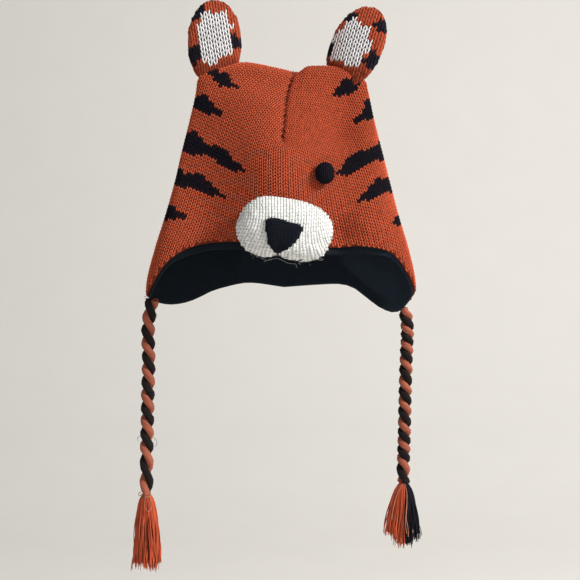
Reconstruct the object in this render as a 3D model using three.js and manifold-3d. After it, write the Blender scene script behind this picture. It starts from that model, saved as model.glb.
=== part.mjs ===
// A knitted animal hat: a fleece-lined knit shell with ear flaps, two padded ears,
// a stuffed muzzle with a nose, one eye, and a twisted cord with a tassel on each flap.
// Millimetres. +Z is up, the face looks along -Y, and +X is to the right as seen from
// the front. "Left" and "right" below are as seen from the front. The origin is the
// inside of the crown, where the top of a head would touch the lining.

import * as THREE from "three";
import { mergeVertices } from "three/addons/utils/BufferGeometryUtils.js";
import Module from "manifold-3d";

// Driving sizes.
const KNIT_WALL = 3.0;
const LINING_WALL = 1.5;
const GAP = 0.3;
const RIDGE_RADIUS = 12;
const RIDGE_LEFT_END = 77;
const RIDGE_RIGHT_END = 72;
const SECTION_POWER = 2.5;
const LINING_LIP_FRONT = 7;
const LINING_LIP = 0.8;
const MUZZLE = { x: 0.5, z: -156.5, halfWidth: 45.5, halfHeight: 29.5, depth: 34, tiltDegrees: 8 };
const NOSE_THICKNESS = 4.5;
const EYE = { x: 39.5, z: -101.5, halfWidth: 9.7, halfHeight: 11, halfDepth: 8.5, sunk: 2.5 };
const EAR_THICKNESS_RATIO = 0.29;
const UNDER_RIM_CUT = 24;
const SHELL_MIDDLE_Z = -210;
const CORNER_ROUNDING = 1.8;
const NOSE_REACH = 60;
const CORD_DIAMETER = 13;
const CORD_SIDES = 10;
const CORD_STEPS = 14;

// Mesh fineness.
const COLUMNS = 48;
const CAP_ROWS = 3;
const WALL_ROWS = 15;
const EAR_SIDES = 24;
const MUZZLE_SIDES = 32;
const TASSEL_SIDES = 18;
const EYE_SIDES = 20;
const EYE_RINGS = 12;

// Half widths and half depths of the knit shell at each height.
const SECTION_ROWS = [
  { z: 16, left: 86, right: 80, front: 12, back: 12 },
  { z: -4, left: 87, right: 82, front: 12, back: 12 },
  { z: -20, left: 89, right: 85.5, front: 14.5, back: 13.5 },
  { z: -44, left: 94.5, right: 90.5, front: 19, back: 17 },
  { z: -76, left: 102.5, right: 98.5, front: 25.5, back: 22 },
  { z: -108, left: 110, right: 106.5, front: 31, back: 27 },
  { z: -140, left: 119, right: 115, front: 35.5, back: 31.5 },
  { z: -172, left: 129, right: 124.5, front: 38.5, back: 34.5 },
  { z: -204, left: 137, right: 131.5, front: 41, back: 37.5 },
  { z: -240, left: 139, right: 132, front: 42, back: 40 },
];

// Folds of the front. A crest runs from its top to its low end, stands out by topOut and
// lowOut there, and falls to half of that at its half width. The stuffed muzzle pulls the
// first two forwards between a furrow on either side. The right cheek swells, and the
// right flap falls back.
const FOLDS = [
  { topX: -40, topZ: 16, lowX: -4, lowZ: -92, halfWidth: 30, topOut: 7, lowOut: 13 },
  { topX: 0, topZ: -90, lowX: -8, lowZ: -215, halfWidth: 36, topOut: 6, lowOut: 9 },
  { topX: -90, topZ: -50, lowX: -76, lowZ: -170, halfWidth: 24, topOut: -4, lowOut: -9 },
  { topX: 57, topZ: -8, lowX: 55, lowZ: -58, halfWidth: 16, topOut: -7, lowOut: -11 },
  { topX: 90, topZ: -74, lowX: 88, lowZ: -145, halfWidth: 18, topOut: 9, lowOut: 9 },
  { topX: 46, topZ: -162, lowX: 60, lowZ: -208, halfWidth: 19, topOut: -11, lowOut: -12 },
  { topX: 92, topZ: -194, lowX: 100, lowZ: -222, halfWidth: 20, topOut: -10, lowOut: -17 },
];

// The front's relief starts this far below the crown's edge and is whole after a run.
const RELIEF_START = 4;
const RELIEF_RUN = 40;
const RELIEF_SIDE_FADE = 1.6;

// Height of the crown's top edge along X, with the notch where the front seam ends.
const CROWN_EDGE_ROWS = [
  { x: -90, z: -8 },
  { x: -82, z: 1.5 },
  { x: -70, z: 7.5 },
  { x: -56, z: 11 },
  { x: -42, z: 14.5 },
  { x: -30, z: 13 },
  { x: -14, z: 9 },
  { x: 0, z: 5 },
  { x: 7, z: 5 },
  { x: 16, z: 10 },
  { x: 30, z: 11 },
  { x: 44, z: 10.5 },
  { x: 58, z: 7 },
  { x: 70, z: 2 },
  { x: 84, z: -8 },
];

// Height of the rim on either side, by the angle from the middle of the front: the
// front arch, the flap on the side, and the back edge, which hangs lower than the front.
const RIM_ROWS = [
  { angle: 0, left: -169, right: -169 },
  { angle: 22, left: -167, right: -172.5 },
  { angle: 30, left: -167, right: -171.5 },
  { angle: 37, left: -168, right: -171 },
  { angle: 44, left: -171, right: -172 },
  { angle: 51, left: -176, right: -174 },
  { angle: 59, left: -184, right: -178.5 },
  { angle: 65, left: -194, right: -187 },
  { angle: 71, left: -205, right: -197 },
  { angle: 78, left: -214, right: -206.5 },
  { angle: 90, left: -219.5, right: -216 },
  { angle: 100, left: -222, right: -221 },
  { angle: 111, left: -224.5, right: -231 },
  { angle: 120, left: -226, right: -234 },
  { angle: 130, left: -224.5, right: -229 },
  { angle: 138, left: -220, right: -220 },
  { angle: 146, left: -212.5, right: -209 },
  { angle: 153, left: -208, right: -205 },
  { angle: 164, left: -203.5, right: -205.5 },
  { angle: 180, left: -208, right: -208 },
];

// Half width of an ear by height above its seam.
const EAR_ROWS = [
  { height: -16, halfWidth: 0 },
  { height: -14, halfWidth: 10 },
  { height: -6, halfWidth: 17 },
  { height: 2, halfWidth: 21.8 },
  { height: 10, halfWidth: 25 },
  { height: 20, halfWidth: 26.5 },
  { height: 32, halfWidth: 26.6 },
  { height: 41, halfWidth: 25.6 },
  { height: 50, halfWidth: 23 },
  { height: 57, halfWidth: 19.5 },
  { height: 63, halfWidth: 15 },
  { height: 67, halfWidth: 10.3 },
  { height: 69.5, halfWidth: 5 },
  { height: 70.3, halfWidth: 0 },
];
const LEFT_EAR_SEAT = { x: -69.5, z: 6.5, leanDegrees: 0, twistDegrees: 0, widen: 1 };
const RIGHT_EAR_SEAT = { x: 62, z: 4.5, leanDegrees: 22, twistDegrees: -24, widen: 1.06 };

// Stuffed muzzle: share of its half width by distance in front of its seam.
const MUZZLE_ROWS = [
  { ahead: -16, share: 0 },
  { ahead: -16, share: 0.62 },
  { ahead: -2, share: 0.93 },
  { ahead: 7, share: 1 },
  { ahead: 15, share: 0.965 },
  { ahead: 22, share: 0.87 },
  { ahead: 27.5, share: 0.72 },
  { ahead: 31.5, share: 0.5 },
  { ahead: 33.5, share: 0.25 },
  { ahead: 34, share: 0 },
];

// The rounded corners of the nose, seen from the front.
const NOSE_CORNERS = [
  { x: -18.8, z: -144.6, radius: 4 },
  { x: 21.6, z: -154, radius: 4 },
  { x: -5.6, z: -184.2, radius: 4 },
];

// Middle line of each cord, from its flap down to its tassel.
const LEFT_CORD_POINTS = [
  [-132.5, 4, -223.9],
  [-133.6, 4.4, -230],
  [-135.2, 4.9, -238],
  [-136.4, 5.4, -247],
  [-136.8, 5.8, -258],
  [-136.5, 6, -270],
  [-136.2, 6, -283],
  [-136.4, 6, -297],
  [-136.9, 6, -312],
  [-137.1, 6, -327],
  [-137.4, 6, -342],
  [-137.8, 6, -357],
  [-138.1, 6, -372],
  [-138.2, 6, -388],
  [-138.3, 6, -404],
  [-138.4, 6, -419],
];
const RIGHT_CORD_POINTS = [
  [122.2, 20.5, -232.1],
  [124, 20.8, -238.5],
  [125.5, 21, -246],
  [125.9, 21, -255],
  [125.7, 21, -265],
  [125.1, 21, -277],
  [124.6, 21, -289],
  [124.2, 21, -302],
  [123.8, 21, -315],
  [123.5, 21, -329],
  [123.2, 21, -343],
  [122.9, 21, -357],
  [122.5, 21, -371],
  [122.1, 21, -384],
  [121.8, 21, -397],
  [122.2, 21, -409.5],
];

// Outer form of each tassel: half width and half depth by distance below its neck.
const LEFT_TASSEL = {
  lean: 0.6,
  rows: [
    { below: 0, halfWidth: 5.5, halfDepth: 5.5 },
    { below: 6, halfWidth: 9, halfDepth: 7.5 },
    { below: 16, halfWidth: 11, halfDepth: 8.5 },
    { below: 30, halfWidth: 12.7, halfDepth: 9.5 },
    { below: 50, halfWidth: 14.3, halfDepth: 10 },
    { below: 66, halfWidth: 15, halfDepth: 10.5 },
    { below: 72, halfWidth: 11, halfDepth: 7 },
    { below: 76, halfWidth: 5, halfDepth: 3 },
  ],
};
const RIGHT_TASSEL = {
  lean: -3.2,
  rows: [
    { below: 0, halfWidth: 4.5, halfDepth: 4.5 },
    { below: 6, halfWidth: 9.5, halfDepth: 7.5 },
    { below: 15, halfWidth: 13, halfDepth: 9 },
    { below: 30, halfWidth: 17, halfDepth: 10.5 },
    { below: 45, halfWidth: 19.5, halfDepth: 11.5 },
    { below: 58, halfWidth: 20, halfDepth: 12 },
    { below: 64, halfWidth: 15, halfDepth: 9 },
    { below: 69, halfWidth: 7, halfDepth: 4 },
  ],
};

const MATERIALS = {
  orangeKnit: new THREE.MeshStandardMaterial({ color: 0xc4532b, roughness: 0.9, metalness: 0 }),
  blackFleece: new THREE.MeshStandardMaterial({ color: 0x17171c, roughness: 0.95, metalness: 0 }),
  blackKnit: new THREE.MeshStandardMaterial({ color: 0x1b1b21, roughness: 0.9, metalness: 0 }),
  creamKnit: new THREE.MeshStandardMaterial({ color: 0xe6dfd2, roughness: 0.9, metalness: 0 }),
  twistedYarn: new THREE.MeshStandardMaterial({ color: 0x8a4230, roughness: 0.9, metalness: 0 }),
};

const wasm = await Module();
wasm.setup();

// A value read from a table between its rows, along a smooth curve through them.
function tableValue(rows, key, column, at) {
  const sign = rows[rows.length - 1][key] > rows[0][key] ? 1 : -1;
  const last = rows.length - 1;
  if (sign * (at - rows[0][key]) <= 0) return rows[0][column];
  if (sign * (at - rows[last][key]) >= 0) return rows[last][column];
  let low = 0;
  while (sign * (at - rows[low + 1][key]) > 0) low += 1;
  const slopeAt = (i) => {
    const before = rows[Math.max(i - 1, 0)];
    const after = rows[Math.min(i + 1, last)];
    return (after[column] - before[column]) / (after[key] - before[key]);
  };
  const from = rows[low];
  const to = rows[low + 1];
  const span = to[key] - from[key];
  const t = (at - from[key]) / span;
  const rise = to[column] - from[column];
  const startSlope = slopeAt(low) * span;
  const endSlope = slopeAt(low + 1) * span;
  return (
    from[column] +
    startSlope * t +
    (3 * rise - 2 * startSlope - endSlope) * t * t +
    (startSlope + endSlope - 2 * rise) * t * t * t
  );
}

function smooth(t) {
  const x = Math.min(Math.max(t, 0), 1);
  return x * x * (3 - 2 * x);
}

// How far one fold stands out at a place.
function foldRelief(fold, x, z) {
  const runX = fold.lowX - fold.topX;
  const runZ = fold.lowZ - fold.topZ;
  const share = ((x - fold.topX) * runX + (z - fold.topZ) * runZ) / (runX ** 2 + runZ ** 2);
  const along = Math.min(Math.max(share, 0), 1);
  const away = Math.hypot(x - fold.topX - runX * along, z - fold.topZ - runZ * along);
  const crest = fold.topOut + (fold.lowOut - fold.topOut) * smooth(along);
  return crest * 0.5 ** ((away / fold.halfWidth) ** 2);
}

// How far the front stands ahead of its plain section at a place.
function frontRelief(x, z) {
  return FOLDS.reduce((sum, fold) => sum + foldRelief(fold, x, z), 0);
}

// A point of the shell's surface, moved inwards by a depth. The row runs from 0 at the
// rim to CAP_ROWS + WALL_ROWS at the crown's edge, and a row below 0 lies under the rim.
function shellPoint(column, row, depth, underRim) {
  const angle = (2 * Math.PI * column) / COLUMNS;
  const across = Math.sin(angle);
  const isRight = across >= 0;
  const isFront = Math.cos(angle) >= 0;
  const side = Math.abs(across);
  const along = (1 - Math.min(side, 1) ** SECTION_POWER) ** (1 / SECTION_POWER);
  const ridgeEnd = isRight ? RIDGE_RIGHT_END : RIDGE_LEFT_END;
  const edgeZ = tableValue(CROWN_EDGE_ROWS, "x", "z", ridgeEnd * across);
  const fromFront = (Math.acos(Math.cos(angle)) * 180) / Math.PI;
  const rimZ = tableValue(RIM_ROWS, "angle", isRight ? "right" : "left", fromFront);
  const shoulderZ = edgeZ - RIDGE_RADIUS;
  const radius = RIDGE_RADIUS - depth;
  const sideColumn = isRight ? "right" : "left";
  const depthColumn = isFront ? "front" : "back";
  let z;
  let halfWidth;
  let halfDepth;
  if (row > WALL_ROWS) {
    const turn = ((CAP_ROWS + WALL_ROWS - row) / CAP_ROWS) * (Math.PI / 2);
    z = shoulderZ + radius * Math.cos(turn);
    const fullWidth = tableValue(SECTION_ROWS, "z", sideColumn, shoulderZ) - depth;
    const fullDepth = tableValue(SECTION_ROWS, "z", depthColumn, shoulderZ) - depth;
    halfWidth = ridgeEnd + (fullWidth - ridgeEnd) * Math.sin(turn);
    halfDepth = fullDepth * Math.sin(turn);
  } else {
    z = row < 0 ? rimZ - underRim : rimZ + ((shoulderZ - rimZ) * row) / WALL_ROWS;
    halfWidth = tableValue(SECTION_ROWS, "z", sideColumn, z) - depth;
    halfDepth = tableValue(SECTION_ROWS, "z", depthColumn, z) - depth;
  }
  const x = halfWidth * across;
  const fade = smooth((edgeZ - z - RELIEF_START) / RELIEF_RUN) * smooth(along * RELIEF_SIDE_FADE);
  const relief = isFront ? frontRelief(x, z) * fade : 0;
  const y = (isFront ? -halfDepth : halfDepth) * along - relief;
  return new THREE.Vector3(x, y, z);
}

// The vertices of one surface of the shell. The front and back meet at the crown's
// edge, so the top row's back half shares the vertices of its front half.
function surfaceGrid(depth, underRim, points) {
  const firstRow = underRim ? -1 : 0;
  const topRow = CAP_ROWS + WALL_ROWS;
  const grid = [];
  for (let row = firstRow; row <= topRow; row += 1) {
    const indices = [];
    for (let column = 0; column < COLUMNS; column += 1) {
      const isBack = column > COLUMNS / 4 && column < (3 * COLUMNS) / 4;
      if (row === topRow && isBack) {
        indices.push(null);
        continue;
      }
      indices.push(points.length);
      points.push(shellPoint(column, row, depth, underRim ? underRim(column) : 0));
    }
    grid.push(indices);
  }
  const top = grid[grid.length - 1];
  for (let column = 0; column < COLUMNS; column += 1) {
    if (top[column] === null) top[column] = top[(COLUMNS * 1.5 - column) % COLUMNS];
  }
  return grid;
}

function addGridFaces(grid, faces, outwards) {
  for (let row = 0; row < grid.length - 1; row += 1) {
    for (let column = 0; column < COLUMNS; column += 1) {
      const next = (column + 1) % COLUMNS;
      const a = grid[row][column];
      const b = grid[row][next];
      const c = grid[row + 1][next];
      const d = grid[row + 1][column];
      if (outwards) faces.push([a, b, c], [a, c, d]);
      else faces.push([a, c, b], [a, d, c]);
    }
  }
}

function geometryOf(points, faces) {
  const geometry = new THREE.BufferGeometry();
  const positions = new Float32Array(points.flatMap((p) => [p.x, p.y, p.z]));
  geometry.setAttribute("position", new THREE.BufferAttribute(positions, 3));
  geometry.setIndex(faces.flat());
  geometry.computeVertexNormals();
  return geometry;
}

// A wall of the shell between two depths, open at the rim.
function wallGeometry(outerDepth, innerDepth, underRim) {
  const points = [];
  const faces = [];
  const outer = surfaceGrid(outerDepth, underRim, points);
  const inner = surfaceGrid(innerDepth, underRim, points);
  addGridFaces(outer, faces, true);
  addGridFaces(inner, faces, false);
  for (let column = 0; column < COLUMNS; column += 1) {
    const next = (column + 1) % COLUMNS;
    faces.push([outer[0][column], inner[0][column], inner[0][next]]);
    faces.push([outer[0][column], inner[0][next], outer[0][next]]);
  }
  return geometryOf(points, faces);
}

// The lining shows a lip under the front arch and ends just past the knit elsewhere.
function liningLip(column) {
  const angle = (2 * Math.PI * column) / COLUMNS;
  const fromFront = (Math.acos(Math.cos(angle)) * 180) / Math.PI;
  return LINING_LIP + (LINING_LIP_FRONT - LINING_LIP) * smooth((72 - fromFront) / 30);
}

function solidFrom(geometry) {
  const bare = geometry.clone();
  bare.deleteAttribute("normal");
  bare.deleteAttribute("uv");
  const merged = mergeVertices(bare, 1e-3);
  return new wasm.Manifold(
    new wasm.Mesh({
      numProp: 3,
      vertProperties: merged.attributes.position.array,
      triVerts: new Uint32Array(merged.index.array),
    }),
  );
}

function geometryFrom(solid) {
  const mesh = solid.getMesh();
  const geometry = new THREE.BufferGeometry();
  geometry.setAttribute("position", new THREE.BufferAttribute(mesh.vertProperties, 3));
  geometry.setIndex(new THREE.BufferAttribute(mesh.triVerts, 1));
  geometry.computeVertexNormals();
  return geometry;
}

// The space that the shell takes up, a gap larger than it and carried on below the rim:
// whatever is sewn on the shell is cut back to this.
function shellSpace() {
  const points = [];
  const faces = [];
  const grid = surfaceGrid(-GAP, () => UNDER_RIM_CUT, points);
  addGridFaces(grid, faces, true);
  const middle = points.length;
  points.push(new THREE.Vector3(0, 0, SHELL_MIDDLE_Z));
  for (let column = 0; column < COLUMNS; column += 1) {
    faces.push([grid[0][(column + 1) % COLUMNS], grid[0][column], middle]);
  }
  return solidFrom(geometryOf(points, faces));
}

// A body turned about Y from rows of radius and height.
function turned(profile, sides) {
  const points = profile.map(([radius, height]) => new THREE.Vector2(radius, height));
  return new THREE.LatheGeometry(points, sides);
}

// The depth of the front surface at a place on it.
function frontY(x, z) {
  const isRight = x >= 0;
  const halfWidth = tableValue(SECTION_ROWS, "z", isRight ? "right" : "left", z);
  const halfDepth = tableValue(SECTION_ROWS, "z", "front", z);
  const side = Math.min(Math.abs(x) / halfWidth, 1);
  return -halfDepth * (1 - side ** SECTION_POWER) ** (1 / SECTION_POWER) - frontRelief(x, z);
}

// A padded ear, standing on the crown's edge at its seat. The right one is a little
// twisted, so that its front faces the hat's middle.
function earGeometry(seat, space) {
  const profile = EAR_ROWS.map((row) => [row.halfWidth, row.height]);
  const ear = turned(profile, EAR_SIDES);
  ear.rotateX(Math.PI / 2);
  ear.scale(seat.widen, EAR_THICKNESS_RATIO, 1);
  ear.rotateZ(THREE.MathUtils.degToRad(seat.twistDegrees));
  ear.rotateY(THREE.MathUtils.degToRad(seat.leanDegrees));
  ear.translate(seat.x, 0, seat.z);
  return geometryFrom(solidFrom(ear).subtract(space));
}

// The muzzle's rounded form, larger all round by an allowance.
function muzzleForm(allowance) {
  const profile = MUZZLE_ROWS.map((row) => [
    row.share ? row.share + allowance / MUZZLE.halfHeight : 0,
    row.ahead + (row.ahead > 0 ? (allowance * row.ahead) / MUZZLE.depth : 0),
  ]);
  const form = turned(profile, MUZZLE_SIDES);
  form.rotateX(Math.PI);
  form.scale(MUZZLE.halfWidth, 1, MUZZLE.halfHeight);
  form.rotateY(THREE.MathUtils.degToRad(MUZZLE.tiltDegrees));
  form.translate(MUZZLE.x, frontY(MUZZLE.x, MUZZLE.z), MUZZLE.z);
  return solidFrom(form);
}

// The point on the way from one corner to another where the first one's rounding ends.
function roundingEnd(corner, other) {
  const from = new THREE.Vector2(corner.x, corner.z);
  const towards = new THREE.Vector2(other.x, other.z).sub(from).normalize();
  return towards.multiplyScalar(CORNER_ROUNDING * corner.radius).add(from);
}

// The nose is a triangle with round corners that lies on the muzzle.
function noseGeometry() {
  const outline = new THREE.Shape();
  NOSE_CORNERS.forEach((corner, i) => {
    const start = roundingEnd(corner, NOSE_CORNERS.at(i - 1));
    const end = roundingEnd(corner, NOSE_CORNERS[(i + 1) % NOSE_CORNERS.length]);
    if (i === 0) outline.moveTo(start.x, start.y);
    else outline.lineTo(start.x, start.y);
    outline.quadraticCurveTo(corner.x, corner.z, end.x, end.y);
  });
  outline.closePath();
  const settings = { depth: NOSE_REACH, bevelEnabled: false, curveSegments: 5 };
  const block = new THREE.ExtrudeGeometry(outline, settings);
  block.rotateX(Math.PI / 2);
  block.translate(0, frontY(MUZZLE.x, MUZZLE.z), 0);
  const bounded = solidFrom(block).intersect(muzzleForm(NOSE_THICKNESS));
  return geometryFrom(bounded.subtract(muzzleForm(GAP)));
}

function eyeGeometry(space) {
  const ball = new THREE.SphereGeometry(1, EYE_SIDES, EYE_RINGS);
  ball.rotateX(Math.PI / 2);
  ball.scale(EYE.halfWidth, EYE.halfDepth, EYE.halfHeight);
  ball.translate(EYE.x, frontY(EYE.x, EYE.z) - EYE.halfDepth + EYE.sunk, EYE.z);
  return geometryFrom(solidFrom(ball).subtract(space));
}

function cordGeometry(route) {
  const path = new THREE.CatmullRomCurve3(route.map(([x, y, z]) => new THREE.Vector3(x, y, z)));
  const section = new THREE.Shape();
  for (let i = 0; i < CORD_SIDES; i += 1) {
    const angle = (2 * Math.PI * i) / CORD_SIDES;
    const x = (CORD_DIAMETER / 2) * Math.cos(angle);
    const y = (CORD_DIAMETER / 2) * Math.sin(angle);
    if (i === 0) section.moveTo(x, y);
    else section.lineTo(x, y);
  }
  section.closePath();
  return new THREE.ExtrudeGeometry(section, { steps: CORD_STEPS, extrudePath: path });
}

// A tassel hangs from the end of its cord, flattened from front to back.
function tasselGeometry(route, tassel) {
  const sides = TASSEL_SIDES;
  const [x, y, z] = route.at(-1);
  const length = tassel.rows.at(-1).below;
  const points = [];
  const faces = [];
  for (const row of tassel.rows) {
    for (let i = 0; i < sides; i += 1) {
      const angle = (2 * Math.PI * i) / sides;
      points.push(
        new THREE.Vector3(
          x + (tassel.lean * row.below) / length + row.halfWidth * Math.cos(angle),
          y + row.halfDepth * Math.sin(angle),
          z - GAP - row.below,
        ),
      );
    }
  }
  for (let ring = 0; ring < tassel.rows.length - 1; ring += 1) {
    for (let i = 0; i < sides; i += 1) {
      const a = ring * sides + i;
      const b = ring * sides + ((i + 1) % sides);
      faces.push([a, a + sides, b + sides], [a, b + sides, b]);
    }
  }
  const bottom = (tassel.rows.length - 1) * sides;
  for (let i = 1; i < sides - 1; i += 1) {
    faces.push([0, i, i + 1], [bottom, bottom + i + 1, bottom + i]);
  }
  return geometryOf(points, faces);
}

function addMesh(group, name, geometry, material) {
  const mesh = new THREE.Mesh(geometry, material);
  mesh.name = name;
  group.add(mesh);
}

const hat = new THREE.Group();
const space = shellSpace();
const liningDepth = KNIT_WALL + GAP;

addMesh(hat, "knit_body", wallGeometry(0, KNIT_WALL, null), MATERIALS.orangeKnit);
addMesh(
  hat,
  "fleece_lining",
  wallGeometry(liningDepth, liningDepth + LINING_WALL, liningLip),
  MATERIALS.blackFleece,
);
addMesh(hat, "left_ear", earGeometry(LEFT_EAR_SEAT, space), MATERIALS.orangeKnit);
addMesh(hat, "right_ear", earGeometry(RIGHT_EAR_SEAT, space), MATERIALS.orangeKnit);
addMesh(hat, "muzzle", geometryFrom(muzzleForm(0).subtract(space)), MATERIALS.creamKnit);
addMesh(hat, "nose", noseGeometry(), MATERIALS.blackKnit);
addMesh(hat, "eye", eyeGeometry(space), MATERIALS.blackKnit);
addMesh(hat, "left_cord", cordGeometry(LEFT_CORD_POINTS), MATERIALS.twistedYarn);
addMesh(hat, "right_cord", cordGeometry(RIGHT_CORD_POINTS), MATERIALS.twistedYarn);
addMesh(hat, "left_tassel", tasselGeometry(LEFT_CORD_POINTS, LEFT_TASSEL), MATERIALS.orangeKnit);
addMesh(hat, "right_tassel", tasselGeometry(RIGHT_CORD_POINTS, RIGHT_TASSEL), MATERIALS.twistedYarn);

export default hat;
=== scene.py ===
# %% [markdown]
# # A knitted animal hat
#
# The real hat is knitted in thick yarn, lined with fleece, and has two padded ears, a
# stuffed muzzle, a nose, one sewn ball for an eye, and a twisted cord with a tassel on
# each flap. Everything below is in the frame of the measured part: +Z is up, the face
# looks along -Y, and +X is to the right as seen from the front. Tables are in
# millimetres, because that is how one measures a hat, and meshes are in metres.

# %% Load the measured part
import math

import bpy
import numpy as np
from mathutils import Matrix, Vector
from mathutils.bvhtree import BVHTree


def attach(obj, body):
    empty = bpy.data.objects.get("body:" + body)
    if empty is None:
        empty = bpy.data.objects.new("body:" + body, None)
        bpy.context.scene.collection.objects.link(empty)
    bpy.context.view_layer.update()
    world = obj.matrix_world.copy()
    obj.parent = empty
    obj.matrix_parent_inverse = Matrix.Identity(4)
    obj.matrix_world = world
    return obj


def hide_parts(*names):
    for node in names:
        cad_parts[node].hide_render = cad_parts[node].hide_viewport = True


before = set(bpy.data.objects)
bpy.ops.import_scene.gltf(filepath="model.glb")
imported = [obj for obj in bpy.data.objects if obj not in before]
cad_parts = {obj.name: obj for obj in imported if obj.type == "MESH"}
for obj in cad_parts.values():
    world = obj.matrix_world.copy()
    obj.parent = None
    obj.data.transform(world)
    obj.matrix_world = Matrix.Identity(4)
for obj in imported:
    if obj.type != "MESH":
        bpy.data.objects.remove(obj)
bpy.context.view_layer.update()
MM = 0.001
print("measured part:", sorted(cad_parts))

# %% [markdown]
# ## The camera
#
# The picture was taken straight on, about a metre away and a little above the middle of
# the hat. A camera at that place gives one pixel to each millimetre of the hat's middle
# plane. It comes first, because the cords are judged by what it sees of them.

# %% Camera
CAMERA_AT = (6.0, -967.0, -213.5)
bpy.ops.object.camera_add(location=[v * MM for v in CAMERA_AT], rotation=(math.pi / 2, 0, 0))
camera = bpy.context.active_object
camera.name = "front_camera"
camera.data.lens = 60
camera.data.sensor_width = 36
bpy.context.scene.camera = camera


def seen_from_front(points):
    """Where points show on the hat's middle plane, as x and z in millimetres. The back is
    read as if it were the front, so that marks meet at the sides."""
    ahead = -np.abs(points[:, 1])
    scale = CAMERA_AT[1] / (CAMERA_AT[1] - ahead)
    x = CAMERA_AT[0] + (points[:, 0] - CAMERA_AT[0]) * scale
    z = CAMERA_AT[2] + (points[:, 2] - CAMERA_AT[2]) * scale
    return np.stack([x, z], axis=1)


# %% [markdown]
# ## Curves through tables
#
# A hat has no straight lines, so every size here is a short table that a smooth curve
# runs through. The curve takes its slope at each row from the rows on either side.

# %% Reading a table
def smooth_between(low, high, start, end, t):
    """A smooth curve from low to high, with the given slopes at its ends, for t in 0 to 1."""
    rise = high - low
    return low + start * t + (3 * rise - 2 * start - end) * t**2 + (start + end - 2 * rise) * t**3


def slopes_of(keys, values):
    """The slope at each row, from the rows on either side of it."""
    slopes = np.empty_like(values)
    slopes[1:-1] = (values[2:] - values[:-2]) / (keys[2:] - keys[:-2])
    slopes[0] = (values[1] - values[0]) / (keys[1] - keys[0])
    slopes[-1] = (values[-1] - values[-2]) / (keys[-1] - keys[-2])
    return slopes


def curve(rows, at, value=1):
    """The value column of a table, read at the first column's numbers."""
    rows = np.array(sorted(rows), float)
    keys, values = rows[:, 0], rows[:, value]
    slopes = slopes_of(keys, values)
    at = np.clip(at, keys[0], keys[-1])
    low = np.clip(np.searchsorted(keys, at, side="right") - 1, 0, len(keys) - 2)
    span = keys[low + 1] - keys[low]
    t = (at - keys[low]) / span
    return smooth_between(
        values[low], values[low + 1], slopes[low] * span, slopes[low + 1] * span, t
    )


def ease(t):
    """0 to 1, with a soft start and end."""
    t = np.clip(t, 0, 1)
    return t * t * (3 - 2 * t)


def bell(distance, width):
    """1 in the middle, falling to nothing on either side."""
    return np.exp(-((distance / width) ** 2))


# %% Lines and grids
# Nothing is divided by less than the first. The second is how many points are worked out
# from one given point of a line to the next.
NEAR_ZERO = 1e-9
STEPS_BETWEEN = 12


def unit(vectors):
    """Vectors brought to length 1."""
    return vectors / np.maximum(np.linalg.norm(vectors, axis=1, keepdims=True), NEAR_ZERO)


def distances_along(line):
    """How far along a line each of its points is."""
    return np.concatenate([[0], np.cumsum(np.linalg.norm(np.diff(line, axis=0), axis=1))])


def read_line(at, along, line):
    """Places, or whatever else goes with a line's points, at distances along it."""
    return np.stack([np.interp(at, along, column) for column in line.T], axis=1)


def route_through(points, step):
    """A smooth line through given points, with a point about every step."""
    points = np.array(points, float)
    padded = np.vstack([2 * points[0] - points[1], points, 2 * points[-1] - points[-2]])
    fine = []
    for a, b, c, d in zip(padded, padded[1:], padded[2:], padded[3:]):
        t = np.linspace(0, 1, STEPS_BETWEEN, endpoint=False)[:, None]
        fine.append(
            0.5
            * (
                2 * b
                + (c - a) * t
                + (2 * a - 5 * b + 4 * c - d) * t**2
                + (3 * b - a - 3 * c + d) * t**3
            )
        )
    fine = np.vstack([*fine, points[-1:]])
    along = distances_along(fine)
    at = np.linspace(0, along[-1], max(2, round(along[-1] / step) + 1))
    return read_line(at, along, fine)


def turned(across, up, degrees):
    """Two coordinates turned about their origin, clockwise where the angle is positive."""
    cosine, sine = math.cos(math.radians(degrees)), math.sin(math.radians(degrees))
    return across * cosine + up * sine, up * cosine - across * sine


def two_triangles(a, b, c, d):
    """The two triangles of every cell with the corners a, b, c and d."""
    halves = [np.stack([a, b, c], axis=-1), np.stack([a, c, d], axis=-1)]
    return np.stack(halves, axis=2).reshape(-1, 3)


def grid_ways(surface):
    """The ways up and onwards for both triangles of every cell of a grid."""
    up = surface[1:, :-1] + surface[1:, 1:] - surface[:-1, :-1] - surface[:-1, 1:]
    on = surface[:-1, 1:] + surface[1:, 1:] - surface[:-1, :-1] - surface[1:, :-1]
    return np.repeat(up.reshape(-1, 3), 2, axis=0), np.repeat(on.reshape(-1, 3), 2, axis=0)


# %% [markdown]
# ## Finishes
#
# Yarn is dull, slightly hairy and never one flat colour. Each stitch and strand carries
# its own colour in an attribute, and the finish adds what is smaller than a stitch: the
# twist of the plies, the fibres, and a soft sheen. Shader sums are written as plain
# sums, through a small class that stands for a socket.

# %% Shader sums
SPECULAR = 0.08
SHEEN_ROUGHNESS = 0.55


class Shade:
    """A socket of a finish. A sum or product of these adds the Math node for it."""

    def __init__(self, finish, socket):
        self.finish = finish
        self.socket = socket

    def _sum(self, operation, first, second):
        return self.finish.node(
            "ShaderNodeMath", {"operation": operation}, {0: first, 1: second}
        )

    def __add__(self, other):
        return self._sum("ADD", self, other)

    def __radd__(self, other):
        return self._sum("ADD", other, self)

    def __mul__(self, other):
        return self._sum("MULTIPLY", self, other)


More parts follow.
